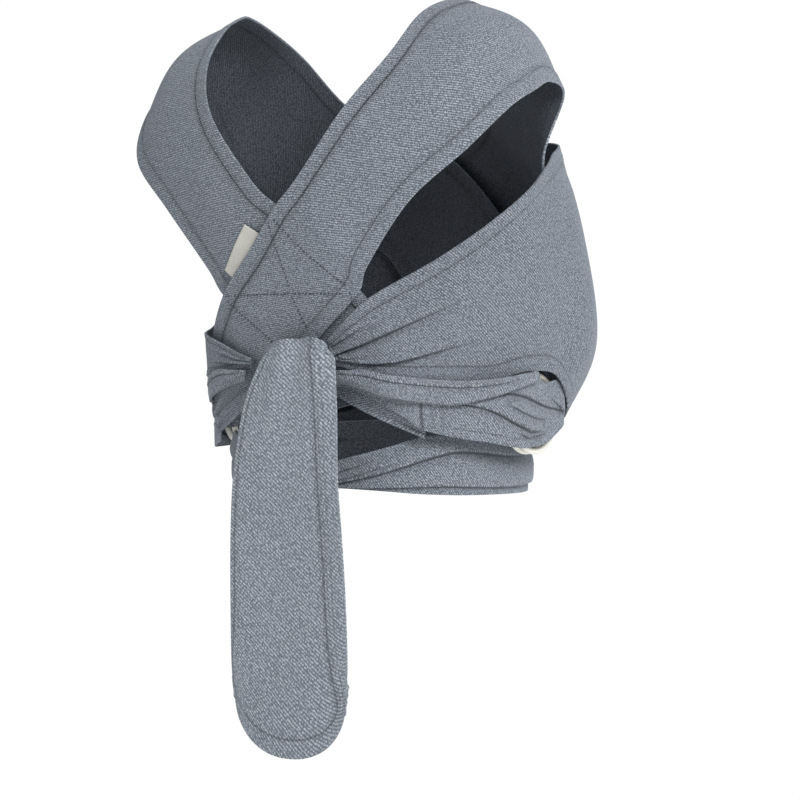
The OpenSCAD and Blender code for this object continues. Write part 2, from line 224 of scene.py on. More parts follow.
def grid_uv(grid):
    """Arc lengths in metres, along (mean of all lines) and across (centred)."""
    length = run_length(grid, 0).mean(1, keepdims=True) * np.ones((1, grid.shape[1]))
    width = run_length(grid, 1)
    return np.stack([length, width - width.mean(1, keepdims=True)], 2) / 1000.0


def dense_samples(count, spots, density):
    """Samples in 0..1, closer together near each spot (place, reach)."""
    x = np.linspace(0, 1, 4001)
    weight = np.ones_like(x)
    for place, reach in spots:
        weight += density * bell(x - place, reach)
    total = np.cumsum(weight)
    total = (total - total[0]) / (total[-1] - total[0])
    return np.interp(np.linspace(0, 1, count), total, x)


def fold(x, height, width, lap=1.2, dip_at=0.15, dip_width=0.5, dip=0.6, crease=0.09):
    """Offset and shade of cloth folded over its neighbour along x = 0; the low side is on top.

    lap, dip_at, dip_width and crease are shares of the width, dip is a share of the height.
    """
    below = x > 0
    lip = np.where(x < 0, bell(x, width * lap), bell(x, width * 0.10))
    hollow = np.where(below, bell(x - width * dip_at, width * dip_width), 0)
    # painted shade: dark in the crease, and a softer band on the side that lies underneath
    dark = bell(x - width * crease, width * crease) + 0.35 * np.where(below, bell(x, width * 0.5), 0)
    return height * lip - dip * height * hollow, dark


def hem_step(distance, hem, rise, run_in, run_out, groove, seam):
    """Extra thickness of a folded hem, with a groove pulled in by its first stitch row."""
    return (rise * falloff(hem - run_in, hem + run_out, distance)
            - groove * bell(distance - (hem - seam), 0.8))


# --------------------------------------------------------------- materials
def add_node(tree, kind, inputs=None, **settings):
    """New node; each input takes a value, or a socket to link from."""
    made = tree.nodes.new(kind)
    for key, value in settings.items():
        setattr(made, key, value)
    for key, value in (inputs or {}).items():
        if isinstance(value, bpy.types.NodeSocket):
            tree.links.new(value, made.inputs[key])
        else:
            made.inputs[key].default_value = value
    return made


def add_math(tree, operation, first, second):
    return add_node(tree, "ShaderNodeMath", {0: first, 1: second}, operation=operation).outputs[0]


def add_ramp(tree, factor, stops):
    """Colour ramp through stops (position, rgb), in order of position."""
    ramp = add_node(tree, "ShaderNodeValToRGB", {0: factor})
    elements = ramp.color_ramp.elements
    for i in (0, -1):
        elements[i].position = stops[i][0]
        elements[i].color = (*stops[i][1], 1)
    for position, colour in stops[1:-1]:
        elements.new(position).color = (*colour, 1)
    return ramp.outputs[0]


def empty_tree(owner):
    owner.use_nodes = True
    owner.node_tree.nodes.clear()
    return owner.node_tree


def cloth_material(name, light, base, dark, weave, sheen=0.35, scale=1.0, tint=(0.55, 0.6, 0.68)):
    """Woven cloth. UV is in metres along and across; weave is the bump strength."""
    material = bpy.data.materials.new(name)
    tree = empty_tree(material)
    uv = add_node(tree, "ShaderNodeUVMap").outputs[0]
    cloth = add_node(tree, "ShaderNodeMapping", {
        "Vector": uv, "Scale": (1000 * scale, 1000 * scale, 1)}).outputs[0]
    # diagonal twill, broken up by noise
    twill = add_node(tree, "ShaderNodeMapping", {
        "Vector": cloth, "Rotation": (0, 0, math.radians(38))}).outputs[0]
    wander = add_node(tree, "ShaderNodeTexNoise", {"Vector": cloth, "Scale": 0.8, "Detail": 3})
    shift = add_node(tree, "ShaderNodeVectorMath", {0: wander.outputs["Color"], "Scale": 0.9},
                     operation="SCALE")
    broken = add_node(tree, "ShaderNodeVectorMath", {0: twill, 1: shift.outputs[0]},
                      operation="ADD")
    yarn = add_node(tree, "ShaderNodeMapping", {
        "Vector": broken.outputs[0], "Scale": (0.48, 0.90, 1)})
    cells = add_node(tree, "ShaderNodeTexVoronoi", {"Vector": yarn.outputs[0], "Scale": 1.0})
    ribs = add_node(tree, "ShaderNodeTexWave", {
        "Vector": twill, "Scale": 0.16, "Distortion": 2.5, "Detail": 2, "Detail Scale": 1.4})
    cell_part = add_math(tree, "MULTIPLY", cells.outputs["Distance"], 0.75)
    rib_part = add_math(tree, "MULTIPLY", ribs.outputs["Fac"], 0.35)
    relief = add_math(tree, "ADD", cell_part, rib_part)
    # flecks of light and dark yarn plus a slow change over the cloth
    flecks = add_ramp(tree, relief, [(0.20, light), (0.42, base), (0.66, dark)])
    slow = add_node(tree, "ShaderNodeTexNoise", {"Vector": cloth, "Scale": 0.02, "Detail": 2})
    brightness = add_node(tree, "ShaderNodeMapRange", {
        0: slow.outputs[0], "To Min": 0.93, "To Max": 1.07})
    colour = add_node(tree, "ShaderNodeHueSaturation", {
        "Color": flecks, "Value": brightness.outputs[0]})
    # painted shade: darker where the cloth dives into a fold or under a hem
    shade = add_node(tree, "ShaderNodeAttribute", attribute_name="shade")
    shadow = add_math(tree, "MULTIPLY", shade.outputs["Fac"], 0.85)
    kept = add_math(tree, "SUBTRACT", 1.0, shadow)
    shaded = add_node(tree, "ShaderNodeMix", {
        "Factor": 1.0, "A": colour.outputs[0], "B": kept},
        data_type="RGBA", blend_type="MULTIPLY")
    bump = add_node(tree, "ShaderNodeBump", {
        "Strength": weave, "Distance": 0.0006,
        "Height": add_math(tree, "MULTIPLY", relief, -1.0)})
    shader = add_node(tree, "ShaderNodeBsdfPrincipled", {
        "Base Color": shaded.outputs["Result"], "Roughness": 0.9, "Specular IOR Level": 0.25,
        "Sheen Weight": sheen, "Sheen Roughness": 0.6, "Sheen Tint": (*tint, 1),
        "Normal": bump.outputs[0]})
    add_node(tree, "ShaderNodeOutputMaterial", {0: shader.outputs[0]})
    return material


def plastic_material(name, base):
    """Slightly mottled, smooth moulded plastic."""
    material = bpy.data.materials.new(name)
    tree = empty_tree(material)
    coords = add_node(tree, "ShaderNodeTexCoord")
    mottle = add_node(tree, "ShaderNodeTexNoise", {
        "Vector": coords.outputs["Object"], "Scale": 60}).outputs[0]
    colour = add_ramp(tree, mottle, [(0, [c * 0.94 for c in base]), (1, base)])
    roughness_range = add_node(tree, "ShaderNodeMapRange", {
        0: mottle, "To Min": 0.26, "To Max": 0.40})
    bump = add_node(tree, "ShaderNodeBump", {
        "Strength": 0.05, "Distance": 0.0003, "Height": mottle})
    shader = add_node(tree, "ShaderNodeBsdfPrincipled", {
        "Base Color": colour, "Normal": bump.outputs[0],
        "Roughness": 0.32,                # used only if the link below is cut
        "Subsurface Weight": 0.08, "Subsurface Radius": (0.004, 0.003, 0.002)})
    tree.links.new(roughness_range.outputs[0], shader.inputs["Roughness"])
    add_node(tree, "ShaderNodeOutputMaterial", {0: shader.outputs[0]})
    return material


FACE = cloth_material(
    "cloth_face", light=(0.40, 0.43, 0.47), base=(0.222, 0.246, 0.283),
    dark=(0.085, 0.097, 0.118), weave=0.7)
# painted shade: the panel is the same cloth as the bands, with every colour taken down to 0.88
PANEL_FACE_PAINTED_SHADE = cloth_material(
    "cloth_face_panel_painted_shade", light=(0.352, 0.378, 0.414), base=(0.195, 0.216, 0.249),
    dark=(0.075, 0.085, 0.104), weave=0.7)
# painted light: the tails are the same cloth as the bands, painted lighter
TAIL_FACE_PAINTED_LIGHT = cloth_material(
    "cloth_face_tail_painted_light", light=(0.49, 0.53, 0.58), base=(0.292, 0.325, 0.366),
    dark=(0.140, 0.158, 0.186), weave=0.7, scale=0.68)
# painted shade: the inner face is the same cloth, painted about a third as bright, where the inside
# lies in shade
INNER_FACE_PAINTED_SHADE = cloth_material(
    "cloth_inner_face_painted_shade", light=(0.126, 0.140, 0.162), base=(0.080, 0.090, 0.107),
    dark=(0.033, 0.037, 0.046), weave=0.5, sheen=0.12, tint=(0.3, 0.34, 0.4))
THREAD = cloth_material(
    "sewing_thread", light=(0.27, 0.30, 0.35), base=(0.21, 0.24, 0.285),
    dark=(0.13, 0.15, 0.18), weave=0.4, sheen=0.2, scale=3)
DARK_THREAD = cloth_material(
    "dark_thread", light=(0.08, 0.09, 0.11), base=(0.055, 0.064, 0.080),
    dark=(0.03, 0.036, 0.045), weave=0.4, sheen=0.1, scale=3)
LABEL_WEAVE = cloth_material(
    "label_weave", light=(0.74, 0.73, 0.67), base=(0.62, 0.61, 0.55),
    dark=(0.45, 0.44, 0.40), weave=0.25, sheen=0.2, scale=2.5)
RING_NYLON = plastic_material("ring_nylon", base=(0.78, 0.77, 0.70))


# ------------------------------------------------------------------ meshes
PIECES = {}


def mesh_object(name, points, faces, uvs, materials, slots=None, shade=None):
    """Smooth object from points in millimetres; slots is the material slot of each face."""
    mesh = bpy.data.meshes.new(name)
    mesh.from_pydata((np.asarray(points) / 1000.0).tolist(), [], faces)
    for material in materials:
        mesh.materials.append(material)
    if slots is not None:
        mesh.polygons.foreach_set("material_index", np.asarray(slots, np.int32))
    mesh.polygons.foreach_set("use_smooth", np.ones(len(mesh.polygons), bool))
    layer = mesh.uv_layers.new(name="UVMap")
    corners = np.zeros(len(mesh.loops), np.int32)
    mesh.loops.foreach_get("vertex_index", corners)
    layer.data.foreach_set("uv", np.asarray(uvs, np.float32)[corners].ravel())
    if shade is not None:
        attribute = mesh.attributes.new("shade", "FLOAT", "POINT")
        attribute.data.foreach_set("value", np.clip(np.asarray(shade, np.float32).ravel(), 0, 1))
    mesh.validate()
    mesh.update()
    piece = bpy.data.objects.new(name, mesh)
    bpy.context.scene.collection.objects.link(piece)
    PIECES[name] = piece
    return piece


def face_outward(piece, merge=False):
    """Make all faces point outward, after merging doubled points if asked."""
    edit = bmesh.new()
    edit.from_mesh(piece.data)
    if merge:
        bmesh.ops.remove_doubles(edit, verts=edit.verts, dist=1e-6)
    bmesh.ops.recalc_face_normals(edit, faces=edit.faces)
    edit.to_mesh(piece.data)
    edit.free()


def cloth_solid(name, grid, normal, outer, inner, materials, rim=3, shade=0.0, rim_bulge=1.0):
    """Closed cloth from a centre grid, with outer and inner offsets and rounded long edges.

    Columns run round the section: outer face, last rim, inner face backwards, first rim.
    """
    rows, cols = grid.shape[:2]
    uv = grid_uv(grid)
    top = push(grid, normal, np.broadcast_to(outer, (rows, cols)))
    under = push(grid, normal, -np.broadcast_to(inner, (rows, cols)))
    shade = np.broadcast_to(shade, (rows, cols))
    last = cols - 1

    def rim_columns(j, neighbour):
        high, low = top[:, j], under[:, j]
        centre = (high + low) / 2
        radius = np.linalg.norm(high - low, axis=1, keepdims=True) / 2
        out = grid[:, j] - grid[:, neighbour]
        out = out / np.maximum(np.linalg.norm(out, axis=1, keepdims=True), 1e-9)
        up = (high - centre) / np.maximum(radius, 1e-9)
        result = []
        for k in range(1, rim + 1):
            angle = math.pi / 2 - math.pi * k / (rim + 1)
            result.append(centre + radius * (up * math.sin(angle)
                                             + out * math.cos(angle) * 0.9 * rim_bulge))
        return result

    backwards = range(last, -1, -1)
    columns = [top[:, j] for j in range(cols)] + rim_columns(last, last - 1)
    columns += [under[:, j] for j in backwards] + rim_columns(0, 1)[::-1]
    uvs = [uv[:, j] for j in range(cols)]
    uvs += [uv[:, last] + np.array([0, 0.0005 * (k + 1)]) for k in range(rim)]
    uvs += [uv[:, j] + np.array([0.013, 0.003]) for j in backwards]
    uvs += [uv[:, 0] - np.array([0, 0.0005 * (rim - k)]) for k in range(rim)]
    shades = [shade[:, j] for j in range(cols)] + [shade[:, last]] * rim
    shades += [shade[:, j] * 0.6 for j in backwards] + [shade[:, 0]] * rim

    ring = len(columns)
    i, j = np.meshgrid(np.arange(rows - 1), np.arange(ring), indexing="ij")
    j_next = (j + 1) % ring
    faces = np.stack([i * ring + j, i * ring + j_next, (i + 1) * ring + j_next,
                      (i + 1) * ring + j], 2).reshape(-1, 4).tolist()
    # slot 1 is the inner face
    slots = ((j >= cols + rim) & (j < 2 * cols + rim - 1)).reshape(-1).astype(int).tolist()
    for base, step in ((0, 1), ((rows - 1) * ring, -1)):
        front = [base + k for k in range(cols)]
        back = [base + 2 * cols + rim - 1 - k for k in range(cols)]
        caps = [[front[k], back[k], back[k + 1], front[k + 1]] for k in range(last)]
        caps.append([base + last + k for k in range(rim + 2)])
        caps.append([base + 2 * cols + rim - 1 + k for k in range(rim + 1)] + [base])
        faces += [cap[::step] for cap in caps]
        slots += [0] * len(caps)
    piece = mesh_object(name, np.stack(columns, 1).reshape(-1, 3), faces,
                        np.stack(uvs, 1).reshape(-1, 2), materials, slots,
                        np.stack(shades, 1).reshape(-1))
    face_outward(piece)


def closed_ball(name, points, uvs):
    """Rounded lump from a grid that closes round its first axis, with a pole at each end."""
    rows, cols = points.shape[:2]
    faces = []
    for i in range(rows):
        i_next = (i + 1) % rows
        for j in range(cols - 1):
            faces.append([i * cols + j, i_next * cols + j,
                          i_next * cols + j + 1, i * cols + j + 1])
    piece = mesh_object(name, points.reshape(-1, 3), faces, uvs.reshape(-1, 2), [FACE])
    face_outward(piece, merge=True)


# ---------------------------------------------------------------- stitches
STITCH_LENGTH, STITCH_GAP = 2.5, 1.5
STITCH_SIDES = 6
# place along the stitch as a share of its length, and share of the full radius
STITCH_PROFILE = [(-0.5, 0.45), (-0.32, 0.95), (0, 1.1), (0.32, 0.95), (0.5, 0.45)]


def smooth_path(path):
    path = np.array(path)
    for _ in range(4):
        path[1:-1] = 0.25 * path[:-2] + 0.5 * path[1:-1] + 0.25 * path[2:]
    return path


def stitch_row(skin, normal, distance, keep):
    """Path over the skin grid where distance is nearest 0 in each row, cut down by keep."""
    i = np.arange(len(skin))
    j = np.argmin(np.abs(distance), axis=1)
    kept = np.broadcast_to(keep, distance.shape)[i, j]
    return smooth_path(skin[i, j][kept]), normal[i, j][kept]


def build_stitches(name, paths, half_width=0.42, half_height=0.30, material=THREAD):
    """Separate little thread lozenges laid along paths of (points, normals)."""
    points, faces, uvs = [], [], []
    pitch = STITCH_LENGTH + STITCH_GAP
    for path, path_normals in paths:
        run = run_length(path)

        def sample(distance, values):
            return np.array([np.interp(distance, run, values[:, a]) for a in range(3)])

        for k in range(int((run[-1] - STITCH_LENGTH) // pitch)):
            middle = k * pitch + pitch / 2
            centre = sample(middle, path)
            heading = (sample(middle + STITCH_LENGTH / 2, path)
                       - sample(middle - STITCH_LENGTH / 2, path))
            size = np.linalg.norm(heading)
            if size < 1e-6:
                continue
            heading /= size
            up = sample(middle, path_normals)
            up = up - heading * up.dot(heading)
            up /= max(np.linalg.norm(up), 1e-9)
            side = np.cross(heading, up)
            base = len(points)
            for place, radius in STITCH_PROFILE:
                sink = 0.12 + 0.25 * (2 * abs(place)) ** 2
                core = centre + heading * place * STITCH_LENGTH - up * sink
                for m in range(STITCH_SIDES):
                    angle = 2 * math.pi * m / STITCH_SIDES
                    points.append(core + side * math.cos(angle) * half_width * radius
                                  + up * math.sin(angle) * half_height * radius)
                    uvs.append(((middle + place * STITCH_LENGTH) / 1000, m * 0.0004))
            for i in range(len(STITCH_PROFILE) - 1):
                near, far = base + i * STITCH_SIDES, base + (i + 1) * STITCH_SIDES
                for m in range(STITCH_SIDES):
                    m_next = (m + 1) % STITCH_SIDES
                    faces.append([far + m, far + m_next, near + m_next, near + m])
            end = base + (len(STITCH_PROFILE) - 1) * STITCH_SIDES
            faces.append([base + m for m in range(STITCH_SIDES)])
            faces.append([end + m for m in range(STITCH_SIDES)][::-1])
    mesh_object(name, np.array(points), faces, uvs, [material])


# ---------------------------------------------------------- shoulder bands
# How far the middle line bulges at each station, from the back end over the shoulder.
BAND_CROWN = [0, 0, 0, 0, 0, 0, 0, 8, 15, 19, 20, 19, 15, 10, 4, 0, 0, 0, 0]


def low_lift(lift, station):
    """The first two stations lie closer to the body."""
    return min(lift, (2, 3.5)[station]) if station < 2 else lift


def front_lift(lift):
    """The lower band is drawn in on the front."""
    return lift - 3 if lift < 1 else lift


def neck_edge(lift):
    """Edge nearer the neck, from the back over the right shoulder and down the front."""
    front = front_lift(lift)
    # the lower band's edge is a little further out where the bands cross
    crossing = (-77, -38, -8, 22) if lift < 1 else (-71, -27.5, 8, 32)
    return [
        on_back(-122, 70, low_lift(lift, 0)), on_back(-104, 116, low_lift(lift, 1)),
        *(on_back(x, z, lift) for x, z in zip(crossing, (160, 198, 235, 259))),
        on_back(77, 321, lift),
        [104, -120, 370], [112, -84, 408], [118, -50, 424], [124, -25, 426],
        [118, 5, 413], [105, 33, 391], [80, 70, 346],
        on_front(44, 322, front), on_front(-10, 290, front), on_front(-56, 214, front),
        on_front(-112, 122, front), [-160, 72, 62]]


def arm_edge(lift):
    """Edge nearer the arm, with the same stations as the neck edge."""
    front = front_lift(lift)
    return [
        on_back(-118, 28, low_lift(lift, 0)), on_back(-62, 56, low_lift(lift, 1)),
        on_back(0, 92, lift), on_back(41, 126, lift), on_back(79, 160, lift),
        on_back(93, 184, lift), on_back(140, 240, lift),
        [186, -119, 284], [210, -86, 322], [217, -56, 339], [214, -24, 349],
        [207, 9, 338], [181, 16, 284], [160, 62, 238],
        on_front(108, 214, front), on_front(70, 164, front), on_front(16, 112, front),
        on_front(-78, 68, front), [-160, 76, 36]]


def band_rows(lift):
    neck = np.array(neck_edge(lift), float)
    arm = np.array(arm_edge(lift), float)
    last = len(neck) - 1
    middle = []
    for i in range(last + 1):
        x, _, z = centre = (neck[i] + arm[i]) / 2
        if i <= 6:
            middle.append(on_back(x, z, low_lift(lift, i)))
        elif 14 <= i <= 17:
            middle.append(on_front(x, z, front_lift(lift)))
        else:
            up = np.cross(arm[i] - neck[i], neck[min(last, i + 1)] - neck[max(0, i - 1)])
            middle.append(centre + up / np.linalg.norm(up) * BAND_CROWN[i])
    return np.array([neck, np.array(middle, float), arm])


def build_band(name, lift, side, seed):
    """Builds one band and returns its stitch paths: two rows on each hem."""
    hem_share = 0.125               # hem as a share of the width
    across = dense_samples(
        across_count(96), [(hem_share, 0.012), (1 - hem_share, 0.012), (0, 0.02), (1, 0.02)],
        density=5)
    along = np.linspace(0, 1, along_count(420))
    station, share = along[:, None], across[None]
    grid = surface(band_rows(lift), along, across)
    normal = normals(grid)
    width = np.linalg.norm(grid[:, -1] - grid[:, 0], axis=1)[:, None]
    from_neck = share * width
    from_arm = width - from_neck
    length = run_length(grid.mean(1))[:, None]
    # slow drape over the length, more where the cloth is loose
    loose = smoothstep(0.30, 0.42, station) * falloff(0.80, 0.95, station)
    offset = 0.9 * noise(length / 38, from_neck / 30, seed) * (0.25 + 0.75 * loose)
    # puckers beside the hem seams
    for centre in (hem_share, 1 - hem_share):
        ripple = np.sin(length / 2.3 + 2.1 * np.sin(length / 17))
        strength = 0.5 + 0.5 * np.sin(length / 41 + seed)
        offset = offset + 0.22 * bell(share - centre, 0.035) * ripple * strength
    # lengthwise pleats where the band gathers at both ends
    for gather, phase in ((falloff(0.0, 0.075, station), 0.6),
                          (smoothstep(0.90, 1.0, station), 1)):
        offset = offset + 2.2 * gather * np.sin(share * 2 * math.pi * 4 + phase)
    inside = np.minimum(smoothstep(0, 0.03, share), smoothstep(0, 0.03, 1 - share))
    grid = push(grid, normal, offset * (0.35 + 0.65 * inside))
    normal = normals(grid)
    thickness = CLOTH_HALF
    shade = 0
    for distance, weight in ((from_neck, 1.0), (from_arm, 0.55)):
        thickness = thickness + hem_step(distance, BAND_HEM, rise=1.0, run_in=0.7, run_out=0.4,
                                         groove=0.5, seam=BAND_SEAMS[0])
        # painted shade: a dark line at the hem's edge, one along each stitch row, and a soft shadow
        for place, dark, reach in ((0.5, 1.0, 0.75), (-BAND_SEAMS[0], 0.3, 0.7),
                                   (-BAND_SEAMS[1], 0.2, 0.7), (2.5, 0.25, 3.0)):
            shade = shade + dark * weight * bell(distance - (BAND_HEM + place), reach)
    if side == LEFT:
        grid, normal = mirror_x(grid), mirror_x(normal)
    cloth_solid(name, grid, normal, thickness, CLOTH_HALF, (FACE, INNER_FACE_PAINTED_SHADE), shade=shade)
    skin = push(grid, normal, thickness + STITCH_LIFT)
    keep = (station > 0.02) & (station < 0.93)
    return [stitch_row(skin, normal, distance - (BAND_HEM - seam), keep)
            for seam in BAND_SEAMS for distance in (from_neck, from_arm)]


right_band_paths = build_band("right_band_cloth", RIGHT_BAND_LIFT, RIGHT, seed=3)
left_band_paths = build_band("left_band_cloth", LEFT_BAND_LIFT, LEFT, seed=5)
build_stitches("right_band_stitches", right_band_paths)
build_stitches("left_band_stitches", left_band_paths)

# Stitch lines over the crossing on the back: x and z of each point.
CROSSING_LINES = [
    [(6, 226), (22, 208), (40, 190), (56, 176), (72, 163)],
    [(-71, 157), (-30, 158), (10, 158.5), (50, 158), (70, 158)],
    [(0, 224), (2, 205), (6, 182), (10, 160)],
    [(10, 156), (16, 142), (24, 124), (30, 112)],
    [(-69, 153), (-50, 138), (-30, 124), (-10, 108), (0, 97)],
    [(72, 160), (73, 152), (66, 143), (50, 132), (30, 112), (4, 96)],
]


def crossing_path(line):
    places = spline(line, np.linspace(0, 1, 60))
    points = np.array([on_back(x, z, RIGHT_BAND_LIFT + 1.9) for x, z in places])
    up = np.array([[x * 0.25, -abs(y), 20.0] for x, y, _ in points])
    return points, up / np.linalg.norm(up, axis=1, keepdims=True)


build_stitches("back_cross_stitches", [crossing_path(line) for line in CROSSING_LINES],
               half_width=0.5, half_height=0.32, material=DARK_THREAD)


# --------------------------------------------------------------- label tag
def build_label():
    along = np.linspace(0, 1, 40)[:, None]
    across = np.linspace(0, 1, 14)[None]
    # each long edge: x then z, both from one short end to the other
    edges = (((-31, -67.8), (221.8, 181.1)), ((-13.5, -58.7), (211.5, 172.7)))
    rows = np.array([[on_back(lerp(*xs, share), lerp(*zs, share), LABEL_LIFT)
                      for share in (0, 0.25, 0.5, 0.75, 1)] for xs, zs in edges], float)
    grid = surface(rows, along[:, 0], across[0])
    normal = normals(grid)
    grid = push(grid, normal, 0.25 * np.sin(along * 9) * (1 - across))
    # woven ribs along the tag, and a turned-in hem at both short ends
    thickness = 0.38 + 0.05 * np.cos(across * 2 * math.pi * 9)
    from_end = np.minimum(along, 1 - along) * 54
    thickness = thickness + 0.18 * falloff(1.6, 2.4, from_end)
    cloth_solid("label", grid, normal, thickness, 0.35, (LABEL_WEAVE, LABEL_WEAVE), rim=1)


build_label()


# ----------------------------------------------------------- support panel
def panel_back(x, z):
    return on_back(x, z, PANEL_LIFT)


# Points x, y, z. Rows go from the top edge to the bottom edge. The right half runs from beside
# the knot round to the front centre, and the left half goes on from there back to the knot.
PANEL_RIGHT = [
    [panel_back(47, 116), panel_back(58, 126), panel_back(72, 138), [90, -123, 156],
     [130, -83, 188], [162, -50, 219], [183, -14, 251], [182, 20, 275],
     [170, 50, 288], [135, 115, 303], [70, 162, 310], [0, 180, 312]],
    [panel_back(47, 109), panel_back(60, 115), panel_back(76, 122), [100, -119, 134],
     [136, -84, 153], [165, -46, 174], [183, -6, 194], [187, 36, 208],
     [185, 78, 215], [146, 134, 222], [80, 187, 228], [0, 206, 230]],
    [panel_back(47, 102), panel_back(62, 103), panel_back(80, 104), [106, -117, 108],
     [138, -82, 119], [163, -42, 129], [179, -1, 138], [187, 42, 138],
     [188, 95, 118], [150, 151, 112], [80, 206, 110], [0, 222, 108]],
    [panel_back(47, 95), panel_back(62, 92), panel_back(82, 86), panel_back(106, 82),
     [136, -77, 80], [157, -36, 80], [177, 0, 89], [181.5, 40, 84],
     [174, 70, 52], [122, 114, 28], [64, 152, 21], [0, 166, 18]]]
PANEL_LEFT = [
    [[-70, 162, 310], [-135, 115, 303], [-168, 62, 278], [-174, 38, 234],
     [-164, 4, 184], [-148, -31, 147], [-128, -80, 129], panel_back(-104, 122),
     panel_back(-80, 113), panel_back(-58, 104), panel_back(-42, 99)],
    [[-80, 187, 228], [-146, 134, 222], [-185, 78, 215], [-184, 36, 186],
     [-172, 0, 154], [-154, -35, 128], [-131, -79, 115], panel_back(-106, 110),
     panel_back(-80, 105), panel_back(-60, 100), panel_back(-42, 97)],
    [[-80, 206, 110], [-150, 151, 112], [-188, 95, 118], [-185, 42, 134],
     [-176, 2, 124], [-157, -37, 107], [-134, -78, 99], panel_back(-106, 98),
     panel_back(-80, 97), panel_back(-60, 95.5), panel_back(-42, 94.5)],
    [[-64, 152, 21], [-122, 114, 28], [-174, 70, 52], [-181.5, 40, 84],
     [-177, 0, 89], [-157, -36, 81], [-136, -77, 82], panel_back(-106, 86),
     panel_back(-82, 89), panel_back(-60, 91), panel_back(-42, 92.5)]]

# Folds: side, height, width, where the fold fades out (start, end), painted crease shade, then its
# line as (share of the way from the knot to the front centre, share of the way down).
PANEL_FOLDS = [
    # two long folds fanning out from the knot, and smaller ones between
    (RIGHT, 4.6, 0.10, (0.26, 0.44), 0.9,
     [(0, .72), (.05, .60), (.12, .53), (.27, .47), (.34, .42), (.42, .39)]),
    (RIGHT, 4.6, 0.09, (0.28, 0.46), 0.9,
     [(0, .80), (.08, .80), (.2, .81), (.28, .80), (.33, .77), (.42, .73)]),
    (RIGHT, 2.6, 0.08, (0.10, 0.30), 0.6, [(0, .30), (.08, .30), (.2, .27), (.3, .24)]),
    (RIGHT, 2.2, 0.07, (0.08, 0.26), 0.5, [(0, .50), (.08, .74), (.2, .70), (.3, .66)]),
    # shorter, wider folds where the cloth is bunched
    (LEFT, 2.6, 0.14, (0.10, 0.26), 0.9, [(0, .30), (.1, .34), (.25, .36), (.4, .34)]),
    (LEFT, 2.8, 0.14, (0.10, 0.26), 0.9, [(0, .66), (.1, .68), (.25, .70), (.4, .66)]),
]
PANEL_FOLD_SHAPE = dict(lap=1.3, dip_at=0.16, dip_width=0.55, dip=0.75, crease=0.10)


def build_panel():
    """Builds the panel and returns its stitch paths: two rows on each hem."""
    along = np.linspace(0, 1, along_count(560))
    across = dense_samples(across_count(170), [(0.045, 0.01), (0, 0.02), (1, 0.02)], density=5)
    rows = np.concatenate([np.array(PANEL_RIGHT, float), np.array(PANEL_LEFT, float)], 1)
    grid = surface(rows, along, across)
    normal = normals(grid)
    from_knot = np.minimum(along, 1 - along) * 2        # 1 at the front centre
    reach, down = from_knot[:, None], across[None]
    on_left = (along > 0.5)[:, None]
    offset = np.zeros(grid.shape[:2])
    shade = np.zeros(grid.shape[:2])
    for side, height, width, fade, dark, line in PANEL_FOLDS:
        line = np.array(line, float)
        centre = np.interp(from_knot, line[:, 0], line[:, 1])
        centre = np.convolve(np.pad(centre, 6, mode="edge"), np.ones(13) / 13, mode="valid")
        strength = falloff(*fade, reach) * (on_left if side == LEFT else ~on_left)
        push_out, crease = fold(down - centre[:, None], height, width, **PANEL_FOLD_SHAPE)
        offset = offset + strength * push_out
        shade = shade + dark * strength * crease
    # fine gathers close to the knot
    offset += falloff(0.0, 0.08, reach) * np.sin(down * 2 * math.pi * 5.5 + 1.2 + 1.5 * reach)
    # flat where the sash passes over it
    flat = smoothstep(0.80, 0.90, down) * falloff(0.55, 0.7, reach)
    offset = offset * (1 - flat) + np.minimum(offset, 0.5) * flat
    # slow drape of the pouch, and a sag under the top hem
    front = smoothstep(0.35, 0.75, reach)
    inside = np.minimum(smoothstep(0, 0.1, down), smoothstep(0, 0.1, 1 - down))
    offset += 2.2 * front * noise(along[:, None] * 26, down * 5.0, 21) * inside
    offset += -1.6 * front * bell(down - 0.10, 0.05)
    grid = push(grid, normal, offset)
    normal = normals(grid)
    from_top = run_length(grid, 1)
    width = from_top[:, -1:]
    hem = PANEL_HEM * np.minimum(1, width / 120)        # narrower where the panel is gathered
    edges = (from_top, width - from_top)
    thickness = CLOTH_HALF
    for distance in edges:
        thickness = thickness + hem_step(distance, hem, rise=0.7, run_in=0.8, run_out=0.5,
                                         groove=0.4, seam=PANEL_SEAMS[0])
        # painted shade: a dark line at the hem's edge and a fainter one along the first stitch row
        shade = shade + 0.7 * bell(distance - (hem + 0.5), 0.75)
        shade = shade + 0.2 * bell(distance - (hem - PANEL_SEAMS[0]), 0.7)
    cloth_solid("support_panel_cloth", grid, normal, thickness, CLOTH_HALF,
                (PANEL_FACE_PAINTED_SHADE, INNER_FACE_PAINTED_SHADE), shade=shade)
    skin = push(grid, normal, thickness + STITCH_LIFT)
    return [stitch_row(skin, normal, distance - (hem - seam), reach > 0.03)
            for seam in PANEL_SEAMS for distance in edges]


build_stitches("panel_stitches", build_panel())


